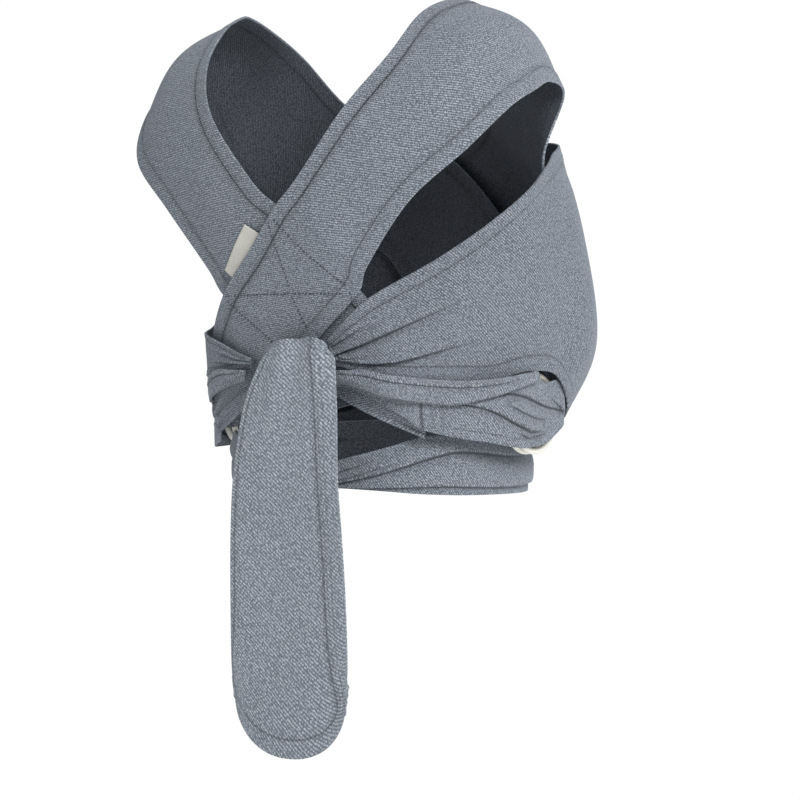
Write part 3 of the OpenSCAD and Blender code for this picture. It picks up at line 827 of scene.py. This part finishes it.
# -------------------------------------------------------- upper sash turns
def upper_rows(left):
    """Top, middle and bottom line from the knot to the hip; left is 1 for the left, else 0."""
    return np.array([
        [on_back(47, 88, 17), on_back(64, 88, 17), on_back(84, 89, 17),
         on_back(106 - 4 * left, 84, 17 - 1.5 * left),
         [143 - 5 * left, -80 + 4 * left, 79 - 1.5 * left],
         [165 - 6 * left, -50 + 3 * left, 80 - 1.5 * left],
         [178.5 - 11.5 * left, -24 - 13 * left, 84 - 3 * left],
         [184.5 - 11 * left, 2 - 29 * left, 88 - 7 * left]],
        [on_back(47, 83, 19), on_back(64, 82, 20), on_back(84, 79, 20),
         on_back(106 - 4 * left, 74, 20 - 3 * left),
         [146 - 7 * left, -81 + 5 * left, 69],
         [168 - 8 * left, -51 + 3 * left, 72],
         [180.5 - 12.5 * left, -24 - 14 * left, 78 - 4 * left],
         [185.5 - 11 * left, 3 - 31 * left, 84 - 9 * left]],
        [on_back(47, 79, 17), on_back(64, 76, 17), on_back(84, 70, 17),
         on_back(106 - 4 * left, 64, 17 - 1.5 * left),
         [143 - 6 * left, -80 + 5 * left, 58],
         [165 - 6 * left, -50 + 3 * left, 64],
         [178.5 - 11.5 * left, -24 - 13 * left, 72 - 5 * left],
         [184.5 - 11 * left, 4 - 31 * left, 80 - 10 * left]]])


def build_upper(name, side, seed):
    along = np.linspace(0, 1, along_count(260) + 30)
    across = dense_samples(72, [(0.2, 0.02), (0.0, 0.03), (1.0, 0.03)], density=3)
    grid = surface(upper_rows(int(side == LEFT)), along, across)
    out, down = along[:, None], across[None]
    # gathers at the knot and a slow drape
    offset = 0.5 * np.sin(down * 2 * math.pi * 2.6 + 0.8 + 1.3 * out) * falloff(0.0, 0.35, out)
    offset += 0.8 * noise(out * 9, down * 2, seed)
    # a long fold near the top and a short one by the knot
    long_offset, long_dark = fold(down - (0.18 + 0.10 * out), height=0.9, width=0.35)
    long_strength = falloff(0.75, 1.0, out) * smoothstep(0.0, 0.1, out)
    short_offset, short_dark = fold(down - (0.72 - 0.3 * out), height=1.0, width=0.35)
    short_strength = falloff(0.12, 0.3, out)
    offset = offset + long_offset * long_strength + short_offset * short_strength
    # painted shade in the fold creases, and darker along the bottom edge
    shade = 0.75 * long_dark * long_strength + 0.7 * short_dark * short_strength
    shade = shade + 0.5 * smoothstep(0.93, 1.0, down)
    grid = push(grid, normals(grid), offset)
    normal = normals(grid)
    if side == LEFT:
        grid, normal = mirror_x(grid), mirror_x(normal)
    cloth_solid(name, grid, normal, SASH_HALF, 0.8, (FACE, FACE), shade=shade)


build_upper("sash_upper_turn_right", RIGHT, seed=31)
build_upper("sash_upper_turn_left", LEFT, seed=33)


# -------------------------------------------------------------- hip straps
def hip_rows(lift, left):
    """Top, middle and bottom line from behind the knot to the rings."""
    drop = left * 7
    sections = (
        ((80, 79, 76, 73, 72),
         [[145 - 2 * left, -64 + 6 * left, 69], [158 - 3 * left, -45 + 2 * left, 73],
          [169 - 1.5 * left, -27 - left, 81]]),
        ((78, 76, 69, 61, 54),
         [[147 - 4 * left, -65 + 7 * left, 51], [161 - 6 * left, -47 + 3 * left, 51],
          [172 - 4.5 * left, -28 - left, 51]]),
        ((76, 72, 62, 48, 36),
         [[145 - 6 * left, -64 + 8 * left, 28 - drop],
          [158 - 4 * left, -45 + 3 * left, 25 - drop],
          [169 - 1.5 * left, -27 - left, 21 - drop]]))
    return np.array([
        [on_back(x, z, lift) for x, z in zip((47, 64, 84, 106, 121), heights)] + outer
        for heights, outer in sections])


def wrap_rows(left):
    """The same three lines carried on round the outside and the front of the rings."""
    return np.array([
        [[176.2, -10, 84.5], [176.4, 8, 84], [176.4, 28, 77], [176.6, 46, 79],
         [176.8, 59, 72], [169.5, 66.6, 65], [159, 66.6, 62]],
        [[176.2, -10, 51], [176.4, 8, 51], [176.4, 28, 51], [176.6, 46, 51],
         [176.8, 59, 51], [169.5, 66.9, 51], [159, 66.6, 51]],
        [[176.2, -10, 18.5 - 5 * left], [176.4, 8, 19.5 - 5 * left],
         [176.4, 28, 22 - 5 * left], [176.6, 46, 30 - 4 * left],
         [176.8, 59, 38 - 3 * left], [169.5, 66.6, 42], [159, 66.6, 44]]])


# Folds: height, width, first and last column, painted crease shade, then the line as (column, share
# down).
STRAP_FOLDS = [
    (1.5, 0.22, 5.2, 12.2, 0.9, [(5.0, .05), (7.0, .20), (8.5, .30), (10, .40), (12.2, .50)]),
    (1.6, 0.25, 4.3, 9.8, 0.9, [(4.2, .16), (6.0, .42), (7.2, .62), (8.6, .76), (10.5, .80)]),
    (1.0, 0.16, 6.6, 10.4, 0.7, [(6.6, .34), (8.0, .50), (9.4, .60), (10.8, .62)]),
    (0.9, 0.14, 7.4, 10.6, 0.8, [(7.4, .78), (8.6, .86), (9.6, .84), (10.6, .74)]),
    (0.9, 0.20, 10.0, 12.6, 0.6, [(10.0, .20), (11.2, .40), (12.4, .62)]),
]


def build_hip(name, side, lift):
    """Strap from behind the knot to the rings and round them; returns its seam's paths."""
    along = np.linspace(0, 1, along_count(340) + 40)
    across = np.linspace(0, 1, 90)
    left = int(side == LEFT)
    rows = np.concatenate([hip_rows(lift, left), wrap_rows(left)], 1)
    grid = surface(rows, along, across)
    normal = normals(grid)
    down = across[None]
    column = along[:, None] * (rows.shape[1] - 1)   # 4 is the seam, 7 the end of the strap
    offset = 0.5 * noise(along[:, None] * 12, down * 3, 41)
    shade = np.zeros_like(offset)
    for height, width, first, last, dark, line in STRAP_FOLDS:
        line = np.array(line)
        centre = np.interp(column, line[:, 0], line[:, 1])
        push_out, crease = fold(down - centre, height, width)
        strength = smoothstep(first, first + 0.8, column) * falloff(last - 0.8, last, column)
        offset = offset + push_out * strength
        shade = shade + dark * crease * strength
    # stepped seam where the strap is sewn to the sash
    step = smoothstep(4.0, 4.06, column) * falloff(4.06, 5.0, column)
    inside = smoothstep(0, 0.06, down) * smoothstep(0, 0.06, 1 - down)
    thickness = 0.8 + 0.7 * step * inside
    # painted shade: a dark line under the step, and one along each seam
    shade = shade + 0.8 * bell(column - 3.97, 0.05)
    for seam in STRAP_SEAMS:
        thickness = thickness - 0.3 * bell(column - seam, 0.05)
        shade = shade + 0.3 * bell(column - seam, 0.04)
    # painted shade: a dark hem line along both edges
    from_top = run_length(grid, 1)
    hemmed = smoothstep(4.0, 5.0, column) * falloff(8.0, 9.0, column)
    for distance in (from_top, from_top[:, -1:] - from_top):
        shade = shade + 0.45 * bell(distance - 7.5, 0.7) * hemmed
    grid = push(grid, normal, offset)
    normal = normals(grid)
    if side == LEFT:
        grid, normal = mirror_x(grid), mirror_x(normal)
    cloth_solid(name, grid, normal, thickness, 0.8, (FACE, FACE), shade=shade)
    skin = push(grid, normal, thickness + STITCH_LIFT)
    nearest = [int(np.argmin(np.abs(column[:, 0] - seam))) for seam in STRAP_SEAMS]
    return [(skin[i, 3:-3], normal[i, 3:-3]) for i in nearest]


right_strap_paths = build_hip("right_hip_strap_cloth", RIGHT, RIGHT_STRAP_LIFT)
left_strap_paths = build_hip("left_hip_strap_cloth", LEFT, LEFT_STRAP_LIFT)
build_stitches("right_strap_seam_stitches", right_strap_paths)
build_stitches("left_strap_seam_stitches", left_strap_paths)


# --------------------------------------------------------- lower sash turn
# Degrees round the body from the back, then height of the top or bottom edge.
LOWER_TOP = [[0, -2], [30, 17], [55, 30], [90, 20], [125, 33], [150, 37], [180, 37]]
LOWER_BOTTOM = [[0, -17], [30, -20], [55, -24], [90, -25], [135, -24], [180, -23]]

# Folds: height, width, where it ends, painted crease shade, then the line as (share of the way from
# the back to the front, share down).
LOWER_FOLDS = [
    (3.0, 0.26, 0.80, 0.95, [(0, .80), (.07, .72), (.18, .50), (.27, .34), (.32, .26),
                             (.41, .20), (.6, .25), (.8, .3)]),
    (2.4, 0.20, 0.80, 0.9, [(0, .97), (.1, .93), (.18, .88), (.3, .84), (.45, .84),
                            (.6, .82), (.8, .8)]),
    (1.8, 0.16, 0.20, 0.8, [(0, .55), (.05, .44), (.14, .22), (.2, .05)]),
    (1.6, 0.12, 0.26, 0.7, [(0, .68), (.07, .62), (.16, .42), (.24, .28), (.3, .2)]),
]


def lower_point(degrees, z, bulge):
    """Point on a squarish oval, 142 to each side, 127 back and 110 forward of y = 20."""
    across, back = math.sin(math.radians(degrees)), math.cos(math.radians(degrees))
    depth = (127 if back > 0 else 110) + bulge
    return [(142 + bulge) * signed_power(across, 0.9), 20 - depth * signed_power(back, 0.9), z]


def lower_rows():
    """Top, bulging middle and bottom line, nearly a full turn with a gap at the back."""
    rows = []
    for k in range(3):
        row = []
        for i in range(25):
            degrees = 3 + 354 * i / 24
            from_back = 360 - degrees if degrees > 180 else degrees
            top, bottom = lookup(LOWER_TOP, from_back), lookup(LOWER_BOTTOM, from_back)
            row.append(lower_point(degrees, lerp(top, bottom, k / 2), 4 if k == 1 else 0))
        rows.append(row)
    return np.array(rows, float)


def build_lower():
    """Builds the turn and returns its one row of stitches, a little below the middle."""
    cols = 110
    along = np.linspace(0, 1, along_count(520))[:, None]
    down = np.linspace(0, 1, cols)[None]
    grid = surface(lower_rows(), along[:, 0], down[0])
    from_back = np.minimum(along, 1 - along) * 2
    offset = 0.9 * noise(along * 30, down * 3, 51)
    shade = np.zeros_like(offset)
    for height, width, end, dark, line in LOWER_FOLDS:
        line = np.array(line)
        centre = np.interp(from_back, line[:, 0], line[:, 1])
        push_out, crease = fold(down - centre, height, width)
        strength = falloff(end - 0.15, end, from_back)
        offset = offset + push_out * strength
        shade = shade + dark * crease * strength
    grid = push(grid, normals(grid), offset)
    normal = normals(grid)
    cloth_solid("sash_lower_turn_cloth", grid, normal, SASH_HALF, SASH_HALF, (FACE, INNER_FACE_PAINTED_SHADE),
                shade=shade)
    j = int(0.55 * cols)
    path = push(grid, normal, SASH_HALF + STITCH_LIFT)[4:-4, j]
    return [(smooth_path(path), normal[4:-4, j])]


build_stitches("lower_turn_stitches", build_lower())


# ------------------------------------------------------------------- tails
# Shares of the way from the left edge to the right edge, closer together at the edges.
TAIL_SHARES = [(1 - math.cos(math.pi * k / 12)) / 2 for k in range(13)]


def round_end(share):
    """How far the rounded end is pulled up at this share of the width."""
    return 60 * (1 - (1 - abs(2 * share - 1) ** 2.2) ** (1 / 2.2))


def outer_tail_rows():
    """Each row runs down the tail from the knot."""
    drop = 264
    rows = []
    for share in TAIL_SHARES:
        pull = round_end(share)
        bulge = math.sin(math.pi * share)
        rows.append([
            [lerp(-6, 62, share), -153 - 3 * bulge, lerp(115, 121, share) - 0.2 * pull],
            [lerp(-10, 71, share), -160 - 4 * bulge, lerp(97, 100, share)],
            [lerp(-32, 71, share), -157 - 3 * bulge, 57],
            [lerp(-49, 68, share), -150, 0],
            [lerp(-56, 71, share), -146, -0.24 * drop],
            [lerp(-57, 75, share), -144, -0.56 * drop + pull * 0.1],
            [lerp(-56, 76, share), -143, -0.8 * drop + pull * 0.45],
            [lerp(-53, 73, share), -143, -drop + pull]])
    return np.array(rows, float)


def inner_tail_rows():
    """The tail that hangs nearer the body."""
    drop = 242
    rows = []
    for share in TAIL_SHARES:
        pull = round_end(share) * 0.85
        rows.append([
            [lerp(-20, 30, share), -130, 66],
            [lerp(-34, 38, share), -127, 40],
            [lerp(-50, 44, share), -126, 0],
            [lerp(-58, 49, share), -126, -0.3 * drop],
            [lerp(-60, 52, share), -126, -0.68 * drop + pull * 0.3],
            [lerp(-58, 52, share), -126, -drop + pull]])
    return np.array(rows, float)


def build_tail(name, rows, seed):
    """Builds a tail and returns the paths of the two stitch rows on its wide right hem."""
    cols = across_count(130)
    along = np.linspace(0, 1, along_count(320))[:, None]
    even = np.linspace(0, 1, cols)
    # partly undo the cosine spacing of the rows
    across = np.arccos(1 - 2 * even) / math.pi * 0.6 + even * 0.4
    grid = surface(rows, along[:, 0], across)
    share = (1 - np.cos(math.pi * across[None])) / 2
    offset = 1.8 * noise(along * 7, share * 3.2, seed)
    # gathers near the knot fading down
    offset += falloff(0.05, 0.5, along) * 2.0 * np.sin(share * 2 * math.pi * 2.2 + 0.6)
    grid = push(grid, normals(grid), offset)
    normal = normals(grid)
    # distances from the three hem lines, positive inside them
    width = run_length(grid, 1)
    length = run_length(grid, 0)
    from_right = width[:, -1:] - width - TAIL_HEM_RIGHT
    from_left = width - TAIL_HEM_LEFT
    from_end = length[-1:] - length - TAIL_HEM_END
    # smooth minimum of the three, which rounds the hem line's corners
    inside = -7.0 * np.log(sum(
        np.exp(-np.clip(distance, -30, limit) / 7)
        for distance, limit in ((from_right, 200), (from_left, 200), (from_end, 400))))
    thickness = CLOTH_HALF + 0.9 * falloff(-0.8, 0.5, inside)
    # painted shade: a dark line along the hem's edge, and a soft shadow beside it by the wide hem
    shade = 1.05 * bell(inside - 0.5, 1.05) + 0.3 * bell(inside - 2.5, 2.6) * (from_right < 20)
    # grooves of the stitch rows, on the wide hem only, with painted shade in them
    sewn = smoothstep(-4, 4, from_left - from_right) * (from_end > -1)
    for seam in TAIL_SEAMS:
        shade = shade + 0.55 * bell(inside + seam, 0.9) * sewn
        thickness = thickness - 0.35 * bell(inside + seam, 0.8) * sewn
    # creases running into the hem at the rounded end, painted darker along each crease
    angle = np.arctan2(from_end - 10, (from_left - from_right) * 0.6)
    strength = bell(inside + 9, 9.0) * (from_end < 14)
    thickness = thickness + 0.35 * np.sin(angle * 26) * strength
    shade = shade + 0.22 * np.maximum(np.sin(angle * 26), 0) * strength
    cloth_solid(name, grid, normal, thickness, CLOTH_HALF, (TAIL_FACE_PAINTED_LIGHT, TAIL_FACE_PAINTED_LIGHT), shade=shade,
                rim_bulge=1 - 0.85 * smoothstep(0.84, 0.95, along))
    skin = push(grid, normal, thickness + STITCH_LIFT)
    keep = (along > 0.03) & (from_end > 0)
    return [stitch_row(skin, normal, from_right + seam, keep) for seam in TAIL_SEAMS]


outer_tail_paths = build_tail("tail_outer_cloth", outer_tail_rows(), seed=61)
inner_tail_paths = build_tail("tail_inner_cloth", inner_tail_rows(), seed=67)
build_stitches("tail_outer_stitches", outer_tail_paths)
build_stitches("tail_inner_stitches", inner_tail_paths)


# -------------------------------------------------------------------- knot
def ball_angles(turn_count, rise_count):
    """Angles round the ball, and from pole to pole, as a column and a row."""
    turn = np.linspace(0, 2 * math.pi, turn_count, endpoint=False)[:, None]
    rise = np.linspace(-math.pi / 2, math.pi / 2, rise_count)[None]
    return turn, rise


def build_knot():
    """Squarish lump, flattened against the back, with soft lobes and folds."""
    turn, rise = ball_angles(120, 80)
    centre_x, centre_y, centre_z = 8, -139, 96.0
    radius_x, radius_y, radius_z = 33, 9, 22.0
    lobes = 1 + 0.06 * np.sin(3 * turn + 0.7) * np.cos(rise)
    folds = 1 + 0.07 * np.sin(5 * rise + 2.2 * np.cos(turn)) * np.cos(rise)
    ring = signed_power(np.cos(rise), 0.8)
    x = centre_x + radius_x * lobes * ring * signed_power(np.cos(turn), 0.85)
    y = centre_y + radius_y * folds * ring * signed_power(np.sin(turn), 0.85)
    z = centre_z + radius_z * lobes * signed_power(np.sin(rise), 0.9)
    uvs = np.stack(np.broadcast_arrays(turn * 25, rise * 20), 2) / 1000
    closed_ball("knot_cloth", np.stack([x, y, z], 2), uvs)


build_knot()


# ------------------------------------------------------ cloth on the rings
RING_RADIUS = 35.0              # centre of the wire
PAIR_HALF = 4.5                 # half the straight run of the section, across both rings
LOOP_INNER = 3 + 0.8            # end radius of the section's inside, with a gap of 0.8
LOOP_OUTER = LOOP_INNER + 2.04
GATHER_RADIUS = 24.5


def stadium(radius, places):
    """Points (away from the ring's centre, across the pair) at places 0..1 round the section."""
    arc = math.pi * radius
    points = []
    for run in places * (4 * PAIR_HALF + 2 * arc):
        if run < PAIR_HALF:
            points.append((radius, run))
        elif run < PAIR_HALF + arc:
            angle = (run - PAIR_HALF) / radius
            points.append((radius * math.cos(angle), PAIR_HALF + radius * math.sin(angle)))
        elif run < 3 * PAIR_HALF + arc:
            points.append((-radius, PAIR_HALF - (run - PAIR_HALF - arc)))
        elif run < 3 * PAIR_HALF + 2 * arc:
            angle = (run - 3 * PAIR_HALF - arc) / radius
            points.append((-radius * math.cos(angle), -PAIR_HALF - radius * math.sin(angle)))
        else:
            points.append((radius, -PAIR_HALF + (run - 3 * PAIR_HALF - 2 * arc)))
    return np.array(points)


def build_loop(name, side, turn, span, phase):
    """Cloth tube round both ring wires, centred turn degrees from the back of the rings."""
    rows, cols = 60, 64
    places = np.linspace(0, 1, cols, endpoint=False)
    sections = (stadium(LOOP_OUTER, places), stadium(LOOP_INNER, places))
    points, uvs = [], []
    for i, angle in enumerate(np.radians(turn + np.linspace(-span / 2, span / 2, rows))):
        for k, section in enumerate(sections):
            # only the outside is wrinkled
            wrinkle = 0.45 * math.sin(i / rows * math.pi * 7 + phase) - 0.25 if k == 0 else 0.0
            for j, (away, across) in enumerate(section):
                radius = RING_RADIUS + away * (1 + wrinkle / LOOP_OUTER)
                points.append([RING_CENTRE[0] + across * (1 + wrinkle / LOOP_OUTER / 2),
                               RING_CENTRE[1] - radius * math.cos(angle),
                               RING_CENTRE[2] + radius * math.sin(angle)])
                uvs.append([angle * RING_RADIUS / 1000, j * 0.0007 + 0.3 * k])
    points = np.array(points)
    if side == LEFT:
        points = mirror_x(points)
    faces = []
    for i in range(rows - 1):
        near, far = 2 * cols * i, 2 * cols * (i + 1)
        for j in range(cols):
            k = (j + 1) % cols
            faces.append([near + j, near + k, far + k, far + j])
            faces.append([near + cols + j, far + cols + j, far + cols + k, near + cols + k])
    for end in (0, 2 * cols * (rows - 1)):
        for j in range(cols):
            k = (j + 1) % cols
            faces.append([end + j, end + cols + j, end + cols + k, end + k])
    face_outward(mesh_object(name, points, faces, uvs, [FACE]))


for name, side, turn, span, phase in (
        ("right_ring_sleeve_cloth", RIGHT, 0, 50, 0.3),
        ("left_ring_sleeve_cloth", LEFT, 0, 50, 0.9),
        ("right_front_loop_cloth", RIGHT, 180, 34, 1.3),
        ("left_front_loop_cloth", LEFT, 180, 34, 2.1)):
    build_loop(name, side, turn, span, phase)


def build_gather(name, side):
    """Cloth bunched through the middle of the rings, with pleats running along Y."""
    turn, rise = ball_angles(90, 72)
    ring = GATHER_RADIUS * signed_power(np.cos(rise), 0.5)
    y = ring * np.cos(turn)
    z = ring * np.sin(turn)
    pleats = 1.1 * np.sin(z / GATHER_RADIUS * 9.5 + 0.5 + 0.35 * np.sin(y / 9))
    fade = np.sqrt(np.clip(1 - (y ** 2 + z ** 2) / GATHER_RADIUS ** 2, 0, 1))
    x = (RING_CENTRE[0] + 7.2 * signed_power(np.sin(rise), 0.6)
         + signed_power(np.sin(rise), 0.4) * (pleats - 0.9) * fade)
    points = np.stack([x * side, RING_CENTRE[1] + y, RING_CENTRE[2] + z], 2)
    closed_ball(name, points, np.stack([y, z], 2) / 1000)


build_gather("right_ring_gather_cloth", RIGHT)
build_gather("left_ring_gather_cloth", LEFT)

# ----------------------------------------- moving bodies and replaced parts
# piece, body it rides on, CAD part it replaces
RIDES = (
    ("back_cross_stitches", "harness", "back_cross_stitching"),
    ("right_strap_seam_stitches", "harness", "right_strap_seam"),
    ("left_strap_seam_stitches", "harness", "left_strap_seam"),
    ("right_ring_sleeve_cloth", "right_rings", "right_ring_sleeve"),
    ("left_ring_sleeve_cloth", "left_rings", "left_ring_sleeve"),
    ("right_front_loop_cloth", "right_rings", "right_front_loop"),
    ("left_front_loop_cloth", "left_rings", "left_front_loop"),
    ("right_ring_gather_cloth", "right_rings", "right_ring_gather"),
    ("left_ring_gather_cloth", "left_rings", "left_ring_gather"),
    ("sash_upper_turn_right", "harness", "sash_upper_right"),
    ("sash_upper_turn_left", "harness", "sash_upper_left"),
    ("sash_lower_turn_cloth", "harness", "sash_lower_turn"),
    ("lower_turn_stitches", "harness", "lower_turn_stitching"),
    ("knot_cloth", "harness", "knot"),
    ("tail_outer_cloth", "tail_back", "tail_outer"),
    ("tail_outer_stitches", "tail_back", "tail_outer_stitching"),
    ("tail_inner_cloth", "tail_front", "tail_inner"),
    ("tail_inner_stitches", "tail_front", "tail_inner_stitching"))
for name, body, part in RIDES:
    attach(PIECES[name], body)
    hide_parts(part)


def blend_piece(name, body, start, end, *parts):
    """Bakes the piece's placement into its mesh and hides the CAD parts it replaces."""
    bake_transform(PIECES[name])
    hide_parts(*parts)


for side in ("right", "left"):
    for piece, part in (("band_cloth", "shoulder_band"), ("band_stitches", "band_stitching")):
        blend_piece(f"{side}_{piece}", f"{side}_band", (0, 0, 0.25), (0, 0, 0.40),
                    f"{side}_{part}")
for side, sign in (("right", RIGHT), ("left", LEFT)):
    blend_piece(f"{side}_hip_strap_cloth", f"{side}_rings",
                (sign * 0.158, -0.042, 0.05), (sign * 0.172, -0.006, 0.05),
                f"{side}_hip_strap", f"{side}_ring_wrap")
blend_piece("label", "label", [c / 1000 for c in on_back(-36.1, 192.1, LABEL_LIFT)],
            [c / 1000 for c in on_back(-42.6, 199.7, LABEL_LIFT)], "label_tag")
for name, part in (("support_panel_cloth", "support_panel"),
                   ("panel_stitches", "panel_stitching")):
    blend_piece(name, "panel", (0, -0.03, 0), (0, 0.17, 0), part)

RINGS = ("right_ring_outer", "right_ring_inner", "left_ring_outer", "left_ring_inner")
for thing in bpy.context.scene.objects:
    if thing.type == "MESH" and thing.name in RINGS:
        thing.data.materials.clear()
        thing.data.materials.append(RING_NYLON)

# ------------------------------------------------ camera and studio, metres
CAMERA_TURN = math.radians(35.0)        # from straight behind the wearer towards the right
CAMERA_RISE = math.radians(1.0)
CAMERA_DISTANCE = 2.7
VIEW_WIDTH = 0.76                       # width seen at the target
SENSOR_WIDTH = 36                       # mm
FLOOR_HEIGHT = -0.30
FLOOR_HALF = 9
WHITE = (1, 1, 1, 1)
WHITE_STRENGTH = 1.02                   # what the camera sees of the floor and the world

to_camera = Vector((math.sin(CAMERA_TURN) * math.cos(CAMERA_RISE),
                    -math.cos(CAMERA_TURN) * math.cos(CAMERA_RISE),
                    math.sin(CAMERA_RISE)))
view_right = Vector((math.cos(CAMERA_TURN), math.sin(CAMERA_TURN), 0))


def add_camera():
    data = bpy.data.cameras.new("cam")
    data.sensor_width = SENSOR_WIDTH
    data.lens = SENSOR_WIDTH * CAMERA_DISTANCE / VIEW_WIDTH
    data.clip_end = 50
    camera = bpy.data.objects.new("cam", data)
    bpy.context.scene.collection.objects.link(camera)
    target = view_right * 0.0266 + Vector((0, 0, 0.060))
    camera.location = target + to_camera * CAMERA_DISTANCE
    camera.rotation_euler = (-to_camera).to_track_quat("-Z", "Y").to_euler()
    bpy.context.scene.camera = camera


def white_to_camera(tree, lit, white, output):
    """The camera sees the white shader; light bouncing round the scene sees the lit one."""
    path = add_node(tree, "ShaderNodeLightPath")
    mix = add_node(tree, "ShaderNodeMixShader", {
        0: path.outputs["Is Camera Ray"], 1: lit.outputs[0], 2: white.outputs[0]})
    add_node(tree, output, {0: mix.outputs[0]})


def add_floor():
    material = bpy.data.materials.new("backdrop")
    tree = empty_tree(material)
    lit = add_node(tree, "ShaderNodeBsdfPrincipled", {
        "Base Color": (0.93, 0.93, 0.93, 1), "Roughness": 0.95,
        "Emission Color": WHITE, "Emission Strength": 0.30})
    white = add_node(tree, "ShaderNodeEmission", {0: WHITE, 1: WHITE_STRENGTH})
    white_to_camera(tree, lit, white, "ShaderNodeOutputMaterial")
    mesh = bpy.data.meshes.new("floor")
    corners = [(x * FLOOR_HALF, y * FLOOR_HALF, FLOOR_HEIGHT)
               for x, y in ((-1, -1), (1, -1), (1, 1), (-1, 1))]
    mesh.from_pydata(corners, [], [(0, 1, 2, 3)])
    mesh.materials.append(material)
    floor = bpy.data.objects.new("floor", mesh)
    bpy.context.scene.collection.objects.link(floor)


def add_world():
    world = bpy.data.worlds.new("studio")
    bpy.context.scene.world = world
    tree = empty_tree(world)
    lit = add_node(tree, "ShaderNodeBackground", {0: (0.98, 0.99, 1.0, 1), 1: 0.42})
    white = add_node(tree, "ShaderNodeBackground", {0: WHITE, 1: WHITE_STRENGTH})
    white_to_camera(tree, lit, white, "ShaderNodeOutputWorld")


def add_light(name, toward_camera, rightward, up, size, power):
    """Square area light, placed from its aim point and turned towards it."""
    aim = Vector((0, 0, 0.1))
    data = bpy.data.lights.new(name, "AREA")
    data.size = size
    data.energy = power
    light = bpy.data.objects.new(name, data)
    bpy.context.scene.collection.objects.link(light)
    place = aim + to_camera * toward_camera + view_right * rightward + Vector((0, 0, up))
    light.location = place
    light.rotation_euler = (aim - place).to_track_quat("-Z", "Y").to_euler()


add_camera()
add_floor()
add_world()
bpy.context.scene.view_settings.view_transform = "Standard"
bpy.context.scene.view_settings.look = "None"
add_light("key", toward_camera=1.9, rightward=0.8, up=1.0, size=0.8, power=37)
add_light("side", toward_camera=0.5, rightward=2.0, up=0.5, size=1.0, power=4.5)
add_light("top", toward_camera=0, rightward=0, up=2.2, size=1.2, power=6)
